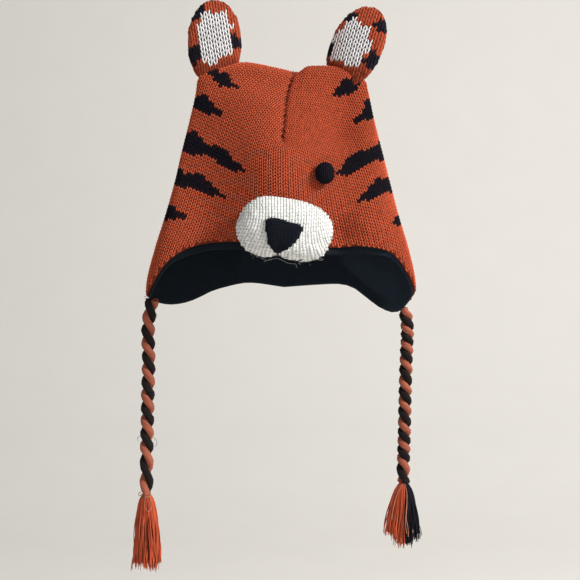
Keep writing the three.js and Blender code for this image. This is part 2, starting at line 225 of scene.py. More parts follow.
class Finish:
    """A material that is built node by node."""

    def __init__(self, name, roughness, sheen=0.0):
        self.material = bpy.data.materials.new(name)
        self.material.use_nodes = True
        self.tree = self.material.node_tree
        self.shader = self.tree.nodes["Principled BSDF"]
        self.shader.inputs["Roughness"].default_value = roughness
        self.shader.inputs["Specular IOR Level"].default_value = SPECULAR
        self.shader.inputs["Sheen Weight"].default_value = sheen
        self.shader.inputs["Sheen Roughness"].default_value = SHEEN_ROUGHNESS

    def node(self, kind, settings=None, sockets=None, out=0):
        """Adds a node: its settings first, then its sockets. Returns one output."""
        made = self.tree.nodes.new(kind)
        for key, value in (settings or {}).items():
            setattr(made, key, value)
        for key, value in (sockets or {}).items():
            if isinstance(value, Shade):
                self.tree.links.new(value.socket, made.inputs[key])
            else:
                made.inputs[key].default_value = value
        return Shade(self, made.outputs[out])

    def feed(self, socket, shade):
        """Links a node's output to a socket of the finish itself."""
        self.tree.links.new(shade.socket, self.shader.inputs[socket])

    def grain(self, scale, detail=2.0):
        """Fine noise on the piece's own place, from 0 to 1."""
        place = self.node("ShaderNodeTexCoord", out="Object")
        return self.node(
            "ShaderNodeTexNoise", sockets={"Vector": place, "Scale": scale, "Detail": detail}
        )

    def own_colour(self):
        """The colour that the mesh carries in the attribute yarn_colour."""
        return self.node("ShaderNodeAttribute", {"attribute_name": "yarn_colour"}, out="Color")

    def look(self, colour, shade):
        """Gives the finish a colour, made lighter and darker by a shade."""
        sockets = {0: colour, "Scale": shade}
        self.feed("Base Color", self.node("ShaderNodeVectorMath", {"operation": "SCALE"}, sockets))

    def relief(self, strength, distance, height):
        """Gives the finish a fine relief."""
        sockets = {"Strength": strength, "Distance": distance, "Height": height}
        self.feed("Normal", self.node("ShaderNodeBump", sockets=sockets))


# %% The finish of the yarn
PLIES = 2


def yarn_finish(name, ply_turns, ply_relief, sheen):
    """Yarn whose colour is in the attribute yarn_colour, and whose plies wind round it."""
    finish = Finish(name, roughness=0.92, sheen=sheen)
    place = finish.node("ShaderNodeUVMap", {"uv_map": "ply"})
    split = finish.tree.nodes.new("ShaderNodeSeparateXYZ")
    finish.tree.links.new(place.socket, split.inputs[0])
    around = Shade(finish, split.outputs["X"])
    along = Shade(finish, split.outputs["Y"])
    turn = (around + along * ply_turns) * (2 * math.pi * PLIES)
    ply = finish.node("ShaderNodeMath", {"operation": "SINE"}, {0: turn})
    fibres = finish.grain(2600.0, 3.0)
    patches = finish.grain(160.0, 2.0)
    # The ply term makes the colour a little lighter on the plies and darker between them: painted
    # shade in the grooves.
    finish.look(finish.own_colour(), 0.72 + fibres * 0.36 + patches * 0.16 + ply * 0.05)
    finish.relief(0.8, ply_relief, ply * 0.5 + fibres)
    return finish.material


KNIT_YARN = yarn_finish("knit_yarn", ply_turns=1.2, ply_relief=0.00025, sheen=0.03)
BLACK_YARN = yarn_finish("black_yarn", ply_turns=1.2, ply_relief=0.0002, sheen=0.01)
CORD_YARN = yarn_finish("cord_yarn", ply_turns=60.0, ply_relief=0.0002, sheen=0.04)
print("yarn finishes made")

# Colours as the light leaves them, in linear values.
ORANGE = (0.60, 0.107, 0.046)
CORD_ORANGE = (0.36, 0.106, 0.063)
CORD_BLACK = (0.0145, 0.0105, 0.0105)
BLACK = (0.0105, 0.0088, 0.0145)
NAVY = (0.0105, 0.0125, 0.0205)
WHITE = (0.88, 0.87, 0.88)
CREAM = (0.755, 0.76, 0.735)
# The share of the yarn's colour given to the cloth behind the stitches: painted shade in the gaps
# between them.
PAINTED_GAP_SHADE = 0.22

# %% [markdown]
# ## Meshes from worked-out points
#
# A primitive can't hold thousands of yarn ends, so strands and stitches are worked out
# as points and go into a mesh in one step. Each keeps its colour in yarn_colour, and a
# UV map that runs round and along the yarn, which the ply pattern follows.

# %% Making a mesh
def points_of(made):
    """The points of an object, in millimetres."""
    return np.array([v.co for v in made.data.vertices]) / MM


def move_points(made, points):
    """Moves the points of an object to places in millimetres."""
    made.data.vertices.foreach_set("co", (points * MM).astype(np.float32).ravel())
    made.data.update()


def turn_faces(made, weld=0.0):
    """Turns the faces of a mesh the same way, after joining points closer than weld."""
    for other in bpy.context.selected_objects:
        other.select_set(False)
    made.select_set(True)
    bpy.context.view_layer.objects.active = made
    bpy.ops.object.mode_set(mode="EDIT")
    bpy.ops.mesh.select_all(action="SELECT")
    if weld:
        bpy.ops.mesh.remove_doubles(threshold=weld * MM)
    bpy.ops.mesh.normals_make_consistent(inside=False)
    bpy.ops.object.mode_set(mode="OBJECT")


def make_mesh(name, points, faces, material, colours, plies=None):
    """An object from points in millimetres. Its place is in its mesh."""
    mesh = bpy.data.meshes.new(name)
    mesh.from_pydata((np.asarray(points) * MM).tolist(), [], [list(face) for face in faces])
    made = bpy.data.objects.new(name, mesh)
    bpy.context.scene.collection.objects.link(made)
    dress(made, material, colours, plies)
    return made


def dress(made, material, colours, plies=None):
    """Gives a mesh its finish, smooth shading, one or many colours, and its ply map."""
    mesh = made.data
    mesh.materials.clear()
    mesh.materials.append(material)
    mesh.polygons.foreach_set("use_smooth", np.ones(len(mesh.polygons), bool))
    rgba = np.ones((len(mesh.vertices), 4), np.float32)
    rgba[:, :3] = colours
    held = mesh.color_attributes.new("yarn_colour", "FLOAT_COLOR", "POINT")
    held.data.foreach_set("color", rgba.ravel())
    if plies is not None:
        corner = np.empty(len(mesh.loops), np.int32)
        mesh.loops.foreach_get("vertex_index", corner)
        uv = mesh.uv_layers.new(name="ply")
        uv.data.foreach_set("uv", np.asarray(plies, np.float32)[corner].ravel())
    mesh.update()


def triangles_of(made):
    """How many triangles a mesh makes."""
    return sum(len(p.vertices) - 2 for p in made.data.polygons)


# %% Strands of yarn
# The ply map counts once round the yarn and once along this length of it. A strand ends
# in a low tip, as high as this share of its radius.
PLY_MAP_LENGTH = 200.0
TIP_HEIGHT = 0.6
# A direction that no yarn here runs in, from which the ways aside are worked out.
NO_YARN_WAY = (0.31, 0.94, 0.12)


def strands(name, lines, radii, colours, material, sides=6):
    """Round strands along lines of points, each with its radius and colour."""
    points, faces, tints, plies = [], [], [], []
    base = 0
    turn = np.linspace(0, 2 * np.pi, sides, endpoint=False)
    for line, radius, colour in zip(lines, radii, colours):
        line = np.asarray(line, float)
        count = len(line)
        ahead = unit(np.gradient(line, axis=0))
        aside = unit(np.cross(ahead, NO_YARN_WAY))
        other = np.cross(ahead, aside)
        size = np.broadcast_to(radius, count).reshape(-1, 1, 1)
        ring = (
            aside[:, None, :] * np.cos(turn)[None, :, None]
            + other[:, None, :] * np.sin(turn)[None, :, None]
        )
        body = line[:, None, :] + ring * size
        tip = line[:1] - ahead[:1] * size[0, 0] * TIP_HEIGHT
        tail = line[-1:] + ahead[-1:] * size[-1, 0] * TIP_HEIGHT
        points += [body.reshape(-1, 3), tip, tail]
        rows = np.arange(count - 1)[:, None] * sides
        here = np.arange(sides)[None, :]
        following = (here + 1) % sides
        quads = np.stack(
            [rows + here, rows + following, rows + sides + following, rows + sides + here],
            axis=-1,
        )
        faces += (quads.reshape(-1, 4) + base).tolist()
        first, last = base + count * sides, base + count * sides + 1
        for k in range(sides):
            after = (k + 1) % sides
            end = base + (count - 1) * sides
            faces.append([first, base + after, base + k])
            faces.append([last, end + k, end + after])
        tints.append(np.tile(colour, (count * sides + 2, 1)))
        along = np.repeat(distances_along(line) / PLY_MAP_LENGTH, sides)
        around = np.tile(turn / (2 * np.pi), count)
        plies.append(np.stack([around, along], axis=1))
        plies.append([[0, 0], [0, along[-1]]])
        base += count * sides + 2
    return make_mesh(
        name, np.vstack(points), faces, material, np.vstack(tints), np.vstack(plies)
    )


# %% [markdown]
# ## The two cords
#
# Each cord is two bundles of yarn, one orange and one black, twisted round each other.
# A plain tube with a striped finish would have a smooth outline, while the real cord
# bulges at every lobe. So each bundle is a ring of yarns that winds round the cord's
# middle line. The lobes aren't even in the picture: their heights are in a table.

# %% Cord routes and lobes
LEFT_ROUTE = [
    (-132.5, 4, -223.9), (-133.6, 4.4, -230), (-135.2, 4.9, -238), (-136.4, 5.4, -247),
    (-136.8, 5.8, -258), (-136.5, 6, -270), (-136.2, 6, -283), (-136.4, 6, -297),
    (-136.9, 6, -312), (-137.1, 6, -327), (-137.4, 6, -342), (-137.8, 6, -357),
    (-138.1, 6, -372), (-138.2, 6, -388), (-138.3, 6, -404), (-138.4, 6, -419),
]  # fmt: skip
RIGHT_ROUTE = [
    (122.2, 20.5, -232.1), (124, 20.8, -238.5), (125.5, 21, -246), (125.9, 21, -255),
    (125.7, 21, -265), (125.1, 21, -277), (124.6, 21, -289), (124.2, 21, -302),
    (123.8, 21, -315), (123.5, 21, -329), (123.2, 21, -343), (122.9, 21, -357),
    (122.5, 21, -371), (122.1, 21, -384), (121.8, 21, -397), (122.2, 21, -409.5),
]  # fmt: skip
# Heights at which the orange bundle faces the front.
LEFT_LOBES = [-219, -246.5, -273.5, -299, -325, -350.5, -377, -415.5]
RIGHT_LOBES = [-236, -255, -271, -289.5, -312, -332, -354, -372, -390, -419]
# Ends of yarn that have worked loose from the left cord.
LEFT_WISPS = [
    [(-130.5, 0, -361), (-127.4, -1, -364), (-127.2, -1, -368), (-129.2, 0, -370)],
    [(-144.4, 0, -360), (-146.8, 0, -361.5), (-145.6, -1, -364)],
    [(-130.6, 1, -237), (-128.4, 0, -239), (-127.3, 0, -241.6)],
    [(-130.4, 1, -238.4), (-127.4, 1, -239.4)],
    [(-130.2, 0, -236), (-128.2, 0, -237.2), (-126.9, 0, -239.2)],
    [(-137.6, 0, -220.4), (-140, 0, -219.6)],
    [(-137, 0, -221.6), (-139.6, 0, -222.4)],
]
CORD_DIAMETER = 13.0
# The lobes stand out past the diameter by this much, as the yarn is soft.
FULLNESS = 0.55
BUNDLE_YARNS = 9
# How far the yarns turn round their bundle, in radians, and what share of its radius the
# core, the ring of yarns and each yarn have.
YARN_TWIST = 5.5
CORE_SHARE, RING_SHARE, YARN_SHARE = 0.62, 0.66, 0.36
# The steps along a cord and along a single yarn, and the radius of a loose end.
CORD_STEP, YARN_STEP = 1.5, 0.8
WISP_RADIUS = 0.2


def bundle(middle, lobes, is_black, radius, seed):
    """The yarns of one bundle as it winds round the cord's middle line."""
    offset = CORD_DIAMETER / 2 + FULLNESS - radius
    heights = np.array(lobes, float)
    turns = np.arange(len(heights)) * 2 * np.pi
    winding = np.interp(-middle[:, 2], -heights, turns) - np.pi / 2 + np.pi * is_black
    out = np.stack([np.cos(winding), np.sin(winding), np.zeros(len(middle))], axis=1)
    centre = middle + out * offset
    ahead = unit(np.gradient(centre, axis=0))
    aside = unit(np.cross(ahead, out))
    normal = np.cross(aside, ahead)
    chance = np.random.default_rng(seed)
    along = np.linspace(0, 1, len(middle))
    # The core strand, seen between the yarns round it, is darkened: painted shade inside the
    # bundle.
    lines, radii, tints = [centre], [radius * CORE_SHARE], [0.6]
    for k in range(BUNDLE_YARNS):
        angle = 2 * np.pi * k / BUNDLE_YARNS - YARN_TWIST * along + chance.normal(0, 0.05)
        reach = radius * (RING_SHARE + 0.03 * np.sin(along * 40 + k * 2.1))
        lines.append(
            centre
            + normal * (reach * np.cos(angle))[:, None]
            + aside * (reach * np.sin(angle))[:, None]
        )
        radii.append(radius * YARN_SHARE)
        tints.append(chance.uniform(0.82, 1.16))
    return lines, radii, tints


def twisted_cord(name, route, lobes, radii, seed):
    """A cord of an orange and a black bundle, and its middle line."""
    middle = route_through(route, CORD_STEP)
    lines, sizes, colours = [], [], []
    for is_black, radius in enumerate(radii):
        own, thick, tints = bundle(middle, lobes, is_black, radius, seed + is_black)
        lines += own
        sizes += thick
        base = CORD_BLACK if is_black else CORD_ORANGE
        colours += [np.array(base) * t for t in tints]
    made = strands(name, lines, sizes, colours, CORD_YARN)
    print(name, len(lines), "yarns,", triangles_of(made), "triangles")
    return made, middle


left_cord, left_middle = twisted_cord(
    "left_twisted_cord", LEFT_ROUTE, LEFT_LOBES, (3.75, 3.75), 3
)
right_cord, right_middle = twisted_cord(
    "right_twisted_cord", RIGHT_ROUTE, RIGHT_LOBES, (3.5, 3.8), 7
)


def length_of(line):
    """The length of a line, in metres."""
    return float(distances_along(line)[-1]) * MM


print("cord lengths", round(length_of(left_middle), 4), round(length_of(right_middle), 4))
left_wisps = strands(
    "left_cord_wisps",
    [route_through(wisp, YARN_STEP) for wisp in LEFT_WISPS],
    [WISP_RADIUS] * len(LEFT_WISPS),
    [CORD_BLACK] * len(LEFT_WISPS),
    CORD_YARN,
)
print("wisps", len(LEFT_WISPS), "ends of yarn,", triangles_of(left_wisps), "triangles")

# %% [markdown]
# ## The form of the hat
#
# Held up with no head in it, the hat is a flat, wide bag: a rounded section that grows
# from the crown's edge down to the flaps. One function gives any point of it, by the
# angle round the hat, the row from rim to crown, and the depth under the surface, so
# the knit, its backing and the lining nest in each other.

# %% Tables of the form
SECTION = [
    (16, 86, 80, 12, 12), (-4, 87, 82, 12, 12), (-20, 89, 85.5, 14.5, 13.5),
    (-44, 94.5, 90.5, 19, 17), (-76, 102.5, 98.5, 25.5, 22), (-108, 110, 106.5, 31, 27),
    (-140, 119, 115, 35.5, 31.5), (-172, 129, 124.5, 38.5, 34.5),
    (-204, 137, 131.5, 41, 37.5), (-240, 139, 132, 42, 40),
]  # fmt: skip
LEFT_WIDTH, RIGHT_WIDTH, FRONT_DEPTH, BACK_DEPTH = 1, 2, 3, 4
CROWN_EDGE = [
    (-90, -8), (-82, 1.5), (-70, 7.5), (-56, 11), (-42, 14.5), (-30, 13), (-14, 9), (0, 5),
    (7, 5), (16, 10), (30, 11), (44, 10.5), (58, 7), (70, 2), (84, -8),
]  # fmt: skip
RIM = [
    (0, -169, -169), (22, -167, -172.5), (30, -167, -171.5), (37, -168, -171),
    (44, -171, -172), (51, -176, -174), (59, -184, -178.5), (65, -194, -187),
    (71, -205, -197), (78, -214, -206.5), (90, -219.5, -216), (100, -222, -221),
    (111, -224.5, -231), (120, -226, -234), (130, -224.5, -229), (138, -220, -220),
    (146, -212.5, -209), (153, -208, -205), (164, -203.5, -205.5), (180, -208, -208),
]  # fmt: skip
# The face's folds: the crest's top (x, z), its low end (x, z), half width, and how far it
# stands out at the top and at the low end. The stuffed muzzle pulls the first two forwards
# between a furrow on either side, the right cheek swells, and the right flap falls back.
FOLDS = [
    (-40, 16, -4, -92, 30, 7, 13), (0, -90, -8, -215, 36, 6, 9), (-90, -50, -76, -170, 24, -4, -9),
    (57, -8, 55, -58, 16, -7, -11), (90, -74, 88, -145, 18, 9, 9),
    (46, -162, 60, -208, 19, -11, -12), (92, -194, 100, -222, 20, -10, -17),
]  # fmt: skip
SEAM_PATH = [
    (16, 11), (3.5, 10), (-12.5, 5), (-26.5, 2), (-41.5, 1), (-54.5, 0), (-64, -1.5),
    (-75, -1), (-110, 0), (-240, 0),
]  # fmt: skip
SEAM_FOOT = -74.0
RIDGE_LEFT, RIDGE_RIGHT, RIDGE_RADIUS, POWER = 77.0, 72.0, 12.0, 2.5
WALL_TOP, CAP_TOP = 15.0, 18.0
# The folds fade towards the crown's edge, over this much height below it.
FADE_START, FADE_HEIGHT = 4.0, 40.0
# The middle seam: a narrow furrow in a wide one, each with its depth and half width.
FURROW_DEPTH, FURROW_HALF_WIDTH = 3.0, 2.3
HOLLOW_DEPTH, HOLLOW_HALF_WIDTH = 1.8, 9.0


def front_relief(x, z):
    """How far the folds make the face stand out at a place."""
    out = 0.0
    for x_top, z_top, x_low, z_low, half_width, top, low in FOLDS:
        run_x, run_z = x_low - x_top, z_low - z_top
        along = ((x - x_top) * run_x + (z - z_top) * run_z) / (run_x**2 + run_z**2)
        along = np.clip(along, 0, 1)
        away = np.hypot(x - x_top - run_x * along, z - z_top - run_z * along)
        out = out + (top + (low - top) * ease(along)) * 0.5 ** ((away / half_width) ** 2)
    return out


def hat_form(angle, row, depth, under_rim=0.0):
    """Points of the hat. Angles are in degrees from the face's middle towards +X."""
    angle, row = np.broadcast_arrays(np.asarray(angle, float), np.asarray(row, float))
    turn = np.radians(angle)
    across = np.sin(turn)
    is_front = np.cos(turn) >= 0
    is_right = across >= 0
    ridge = np.where(is_right, RIDGE_RIGHT, RIDGE_LEFT)
    edge = curve(CROWN_EDGE, ridge * across)
    from_front = np.degrees(np.arccos(np.clip(np.cos(turn), -1, 1)))
    rim = np.where(is_right, curve(RIM, from_front, 2), curve(RIM, from_front, 1)) - under_rim
    shoulder = edge - RIDGE_RADIUS
    cap = np.clip((CAP_TOP - row) / (CAP_TOP - WALL_TOP), 0, 1) * np.pi / 2
    on_wall = row <= WALL_TOP
    z = np.where(
        on_wall,
        rim + (shoulder - rim) * row / WALL_TOP,
        shoulder + (RIDGE_RADIUS - depth) * np.cos(cap),
    )
    level = np.where(on_wall, z, shoulder)
    wide = np.where(
        is_right, curve(SECTION, level, RIGHT_WIDTH), curve(SECTION, level, LEFT_WIDTH)
    )
    deep = np.where(
        is_front, curve(SECTION, level, FRONT_DEPTH), curve(SECTION, level, BACK_DEPTH)
    )
    wide, deep = wide - depth, deep - depth
    wide = np.where(on_wall, wide, ridge + (wide - ridge) * np.sin(cap))
    deep = np.where(on_wall, deep, deep * np.sin(cap))
    # The columns lean over so that the middle one follows the seam.
    lean = curve(SEAM_PATH, z) / wide * (1 - np.abs(across)) ** 2
    across = across + lean
    along = (1 - np.minimum(np.abs(across), 1) ** POWER) ** (1 / POWER)
    x = wide * across
    fade = ease((edge - z - FADE_START) / FADE_HEIGHT) * ease(along * 1.6)
    relief = np.where(is_front, front_relief(x, z) * fade, 0)
    y = np.where(is_front, -deep, deep) * along - relief
    y = y + np.where(is_front, 1, -1) * seam_groove(x, z, edge)
    return np.stack([x, y, z], axis=-1)


def seam_groove(x, z, edge):
    """The furrow along the middle seam, where the two sides of the knit turn in. It
    starts 6 mm below the seam's foot, is full 8 mm above it, and ends at the crown."""
    length = ease((z - SEAM_FOOT + 6) / 14)
    away = x - curve(SEAM_PATH, z)
    furrow = FURROW_DEPTH * bell(away, FURROW_HALF_WIDTH)
    hollow = HOLLOW_DEPTH * bell(away, HOLLOW_HALF_WIDTH)
    return (furrow + hollow) * length * ease((edge - z) / 5)


# %% [markdown]
# ## How the knit runs
#
# A knit has two directions: the upright chains of stitches, or wales, and the rows, or
# courses. On this hat the wales lean towards the middle seam and fan out towards the
# flaps. The lean, the fall of the rows and the width of a stitch were judged at
# chosen places of the face and are short tables here. Between them they are blended.

# %% Directions of the knit
# x, z, lean of the wales, fall of the courses towards the middle, width of a stitch.
LEFT_KNIT = [
    (-55, 5, 35, 28, 4.1), (-25, 0, 52, 40, 4.2), (-5, -10, 57, 42, 4.1),
    (-75, -25, 18, 29, 4.1), (-55, -20, 25, 32, 4), (-30, -25, 45, 37, 4),
    (-5, -35, 50, 39, 4.5), (-95, -50, 15, 25, 4.1), (-75, -55, 18, 29, 4.1),
    (-45, -50, 19, 32, 4), (-25, -55, 37, 36, 4.4), (-5, -60, 44, 36, 4.7),
    (-35, -80, 10, 27, 4.1), (-10, -80, 4, 18, 5), (4, -95, 0, 2, 5), (-15, -100, 3, 18, 4.5),
    (-85, -95, 15, 27, 4.2), (-55, -100, 13, 25, 4.3), (-100, -125, 19, 18, 4.4),
    (-75, -130, 16, 24, 4.8), (-50, -150, 10, 24, 4.5), (-75, -160, 20, 21, 5.2),
    (-100, -155, 30, 18, 4.8), (-117, -190, 17, 13, 4.6), (4, -160, 0, 2, 5),
]  # fmt: skip
RIGHT_KNIT = [
    (20, -5, 42, 40, 4.3), (50, -5, 32, 31, 4.2), (10, -25, 42, 40, 4.2),
    (35, -30, 28, 35, 4.2), (65, -25, 26, 31, 4.3), (8, -55, 36, 36, 4.3),
    (25, -60, 27, 34, 4.1), (55, -50, 24, 36, 4.2), (80, -70, 22, 30, 4.1),
    (20, -85, 5, 18, 4.4), (4, -95, 0, 2, 5), (40, -90, 15, 24, 4.2), (30, -115, 5, 18, 4.2),
    (60, -105, 23, 30, 4.2), (85, -110, 21, 29, 4.1), (60, -135, 14, 24, 4.4),
    (85, -135, 18, 27, 4.3), (65, -155, 14, 24, 4.6), (95, -150, 24, 26, 4.6),
    (100, -170, 21, 24, 5), (116, -193, 15, 18, 4.8), (4, -160, 0, 2, 5),
]  # fmt: skip
LEAN, FALL, WIDTH = 0, 1, 2
BLEND_REACH = 9.0
COURSE_HEIGHT = 3.15


def blended(rows, places):
    """The table's columns at places, each blended from the rows near it."""
    rows = np.array(rows, float)
    away = ((places[:, None, :] - rows[None, :, :2]) ** 2).sum(axis=2)
    share = 1 / (away + BLEND_REACH**2) ** 2
    return share @ rows[:, 2:] / share.sum(axis=1, keepdims=True)


# %% [markdown]
# ## Numbering the stitches
#
# To place stitches, every point of the cloth gets two numbers: its wale and its course.
# Both must change at the tables' rate and direction, and one can't simply draw lines,
# because on a rounded form they would crowd or part. So the numbers are solved for:
# they are the smoothest ones whose slope comes nearest to the wanted one everywhere.
# The middle of a stitch then lies wherever both are half-way between whole numbers.

# %% Solving for the numbers
# The solving ends after this many rounds, or once the fault has shrunk to this share.
MOST_ROUNDS = 1500
CLOSE_ENOUGH = 1e-11


def face_frames(points, faces):
    """Each triangle's normal, how its three corners pull its slope, and its area."""
    a, b, c = (points[faces[:, k]] for k in range(3))
    normal = np.cross(b - a, c - a)
    double = np.maximum(np.linalg.norm(normal, axis=1, keepdims=True), NEAR_ZERO)
    normal = normal / double
    slopes = np.stack(
        [np.cross(normal, c - b), np.cross(normal, a - c), np.cross(normal, b - a)], axis=1
    )
    return normal, slopes / double[:, :, None], double[:, 0] / 2


def numbered(points, faces, wanted):
    """The number of each point, so that it grows over each face as wanted does."""
    _, slopes, area = face_frames(points, faces)
    count = len(points)
    flat = faces.ravel()

    def gathered(per_corner):
        return np.bincount(flat, per_corner.ravel(), minlength=count)

    def applied(values):
        slope = np.einsum("fk,fkd->fd", values[faces], slopes)
        return gathered(np.einsum("fkd,fd,f->fk", slopes, slope, area))

    weight = gathered((slopes**2).sum(axis=2) * area[:, None])
    weight = np.maximum(weight, weight.max() * NEAR_ZERO)
    rest = gathered(np.einsum("fkd,fd,f->fk", slopes, wanted, area))
    values = np.zeros(count)
    eased = rest / weight
    heading = eased.copy()
    size = rest @ eased
    start = size
    for _ in range(MOST_ROUNDS):
        pushed = applied(heading)
        step = size / (heading @ pushed)
        values += step * heading
        rest = rest - step * pushed
        eased = rest / weight
        following = rest @ eased
        if following < start * CLOSE_ENOUGH:
            break
        heading = eased + heading * following / size
        size = following
    return values


def in_plane_normal(directions, normals, towards):
    """The direction in each face's plane square to the given one, on the side of towards."""
    made = unit(np.cross(normals, directions))
    return made * np.sign((made * towards).sum(axis=1, keepdims=True))


# %% Placing the stitches
# Stitches nearer than this are one and the same, found in two triangles. No stitch is
# larger than this share of the middle one.
SAME_PLACE = 0.4
LONGEST_STEP = 1.3


def point_average(faces, per_face, area, count):
    """Values of faces brought to the points, by area."""
    flat = faces.ravel()
    total = np.bincount(flat, np.repeat(area, 3), minlength=count)
    shape = per_face.reshape(len(per_face), -1)
    held = [np.bincount(flat, np.repeat(area * v, 3), minlength=count) for v in shape.T]
    return (np.stack(held, axis=1) / total[:, None]).reshape(count, *per_face.shape[1:])


def not_too_long(vectors):
    """Vectors cut to at most a share of their middle length."""
    length = np.linalg.norm(vectors, axis=1, keepdims=True)
    longest = LONGEST_STEP * np.median(length)
    return vectors * np.minimum(1, longest / np.maximum(length, NEAR_ZERO))


def stitch_places(points, faces, wales, courses, level=None):
    """Where both numbers are half-whole: the middle of each stitch, the steps to the next
    wale and to the next course, the way out of the cloth, and the level if one is given."""
    normal, slopes, area = face_frames(points, faces)
    level = np.zeros(len(points)) if level is None else level
    wale_slope = np.einsum("fk,fkd->fd", wales[faces], slopes)
    course_slope = np.einsum("fk,fkd->fd", courses[faces], slopes)
    # The steps are the inverse of the slopes, in the plane of the face.
    ww = (wale_slope**2).sum(axis=1)
    cc = (course_slope**2).sum(axis=1)
    wc = (wale_slope * course_slope).sum(axis=1)
    scale = np.maximum(ww * cc - wc * wc, NEAR_ZERO)[:, None]
    to_wale = (wale_slope * cc[:, None] - course_slope * wc[:, None]) / scale
    to_course = (course_slope * ww[:, None] - wale_slope * wc[:, None]) / scale
    steps = point_average(
        faces, np.stack([to_wale, to_course, normal], axis=1), area, len(points)
    )
    w, c = wales[faces], courses[faces]
    low_w = np.ceil(w.min(axis=1) - 0.5)
    low_c = np.ceil(c.min(axis=1) - 0.5)
    x1, x2 = w[:, 1] - w[:, 0], w[:, 2] - w[:, 0]
    y1, y2 = c[:, 1] - c[:, 0], c[:, 2] - c[:, 0]
    across = x1 * y2 - x2 * y1
    across = np.where(np.abs(across) < 1e-12, 1e-12, across)
    found = []
    for dw in range(3):
        for dc in range(3):
            at_w, at_c = low_w + dw + 0.5, low_c + dc + 0.5
            px, py = at_w - w[:, 0], at_c - c[:, 0]
            s = (px * y2 - x2 * py) / across
            t = (x1 * py - px * y1) / across
            inside = (s >= 0) & (t >= 0) & (s + t <= 1)
            share = np.stack([1 - s - t, s, t], axis=1)[inside]
            corner = faces[inside]
            place = np.einsum("fk,fkd->fd", share, points[corner])
            step = np.einsum("fk,fkud->fud", share, steps[corner])
            own = (share * level[corner]).sum(axis=1)[:, None, None] * np.ones((1, 1, 3))
            found.append(np.concatenate([place[:, None], step, own], axis=1))
    found = np.concatenate(found)
    _, first = np.unique(np.round(found[:, 0] / SAME_PLACE), axis=0, return_index=True)
    found = found[np.sort(first)]
    out = unit(found[:, 3])
    for step in (found[:, 1], found[:, 2]):
        step -= out * (step * out).sum(axis=1, keepdims=True)
    return {
        "at": found[:, 0],
        "wale": not_too_long(found[:, 1]),
        "course": not_too_long(found[:, 2]),
        "out": out,
        "level": found[:, 4, 0],
    }


def some(stitches, chosen):
    """The chosen ones of the stitches."""
    return {key: value[chosen] for key, value in stitches.items()}


def fall_away(stitches):
    """How far a small, round form falls away one course up or down from each stitch."""
    at, out = stitches["at"], stitches["out"]
    falls = []
    for way in (1, -1):
        wanted = at + way * stitches["course"]
        near = ((wanted[:, None, :] - at[None, :, :]) ** 2).sum(axis=2).argmin(axis=1)
        falls.append(((at - at[near]) * out).sum(axis=1))
    return np.clip((falls[0] + falls[1]) / 2, 0, 2.5)


# %% [markdown]
# ## One stitch
#
# On the right side of stocking stitch each loop shows two plump legs that make a V: they
# start close together, deep in the loop below, swell forwards, and part before they
# tuck in again. One leg is modelled from a small sphere, which already has a rounded
# side and two poles to taper to. It is then bent into place for every leg of every
# stitch. It has only 25 faces, because it is repeated many thousands of times.

# %% Modelling one leg
bpy.ops.mesh.primitive_uv_sphere_add(segments=5, ring_count=5, radius=1)
leg = bpy.context.active_object
leg_points = np.array([v.co for v in leg.data.vertices])
leg_faces = [tuple(p.vertices) for p in leg.data.polygons]
bpy.data.objects.remove(leg)
LEG_ALONG = leg_points[:, 2]
leg_ring = np.maximum(np.hypot(leg_points[:, 0], leg_points[:, 1]), 1e-6)
# The poles stay points, and between them the leg is fuller than a sphere.
leg_swell = (1 - np.abs(LEG_ALONG) ** 2.6) ** 0.5
leg_swell[np.abs(LEG_ALONG) > 0.999] = 0
LEG_ASIDE = leg_points[:, 0] / leg_ring * leg_swell
LEG_OUT = leg_points[:, 1] / leg_ring * leg_swell
LEG_PLY = np.stack(
    [np.arctan2(leg_points[:, 1], leg_points[:, 0]) / (2 * np.pi) + 0.5, (LEG_ALONG + 1) / 2],
    axis=1,
)
print("one leg:", len(leg_points), "points,", len(leg_faces), "faces")


# %% Knitting
# How far each leg lies from the middle of its stitch, as a share of the stitch.
LEG_GAP = 0.245


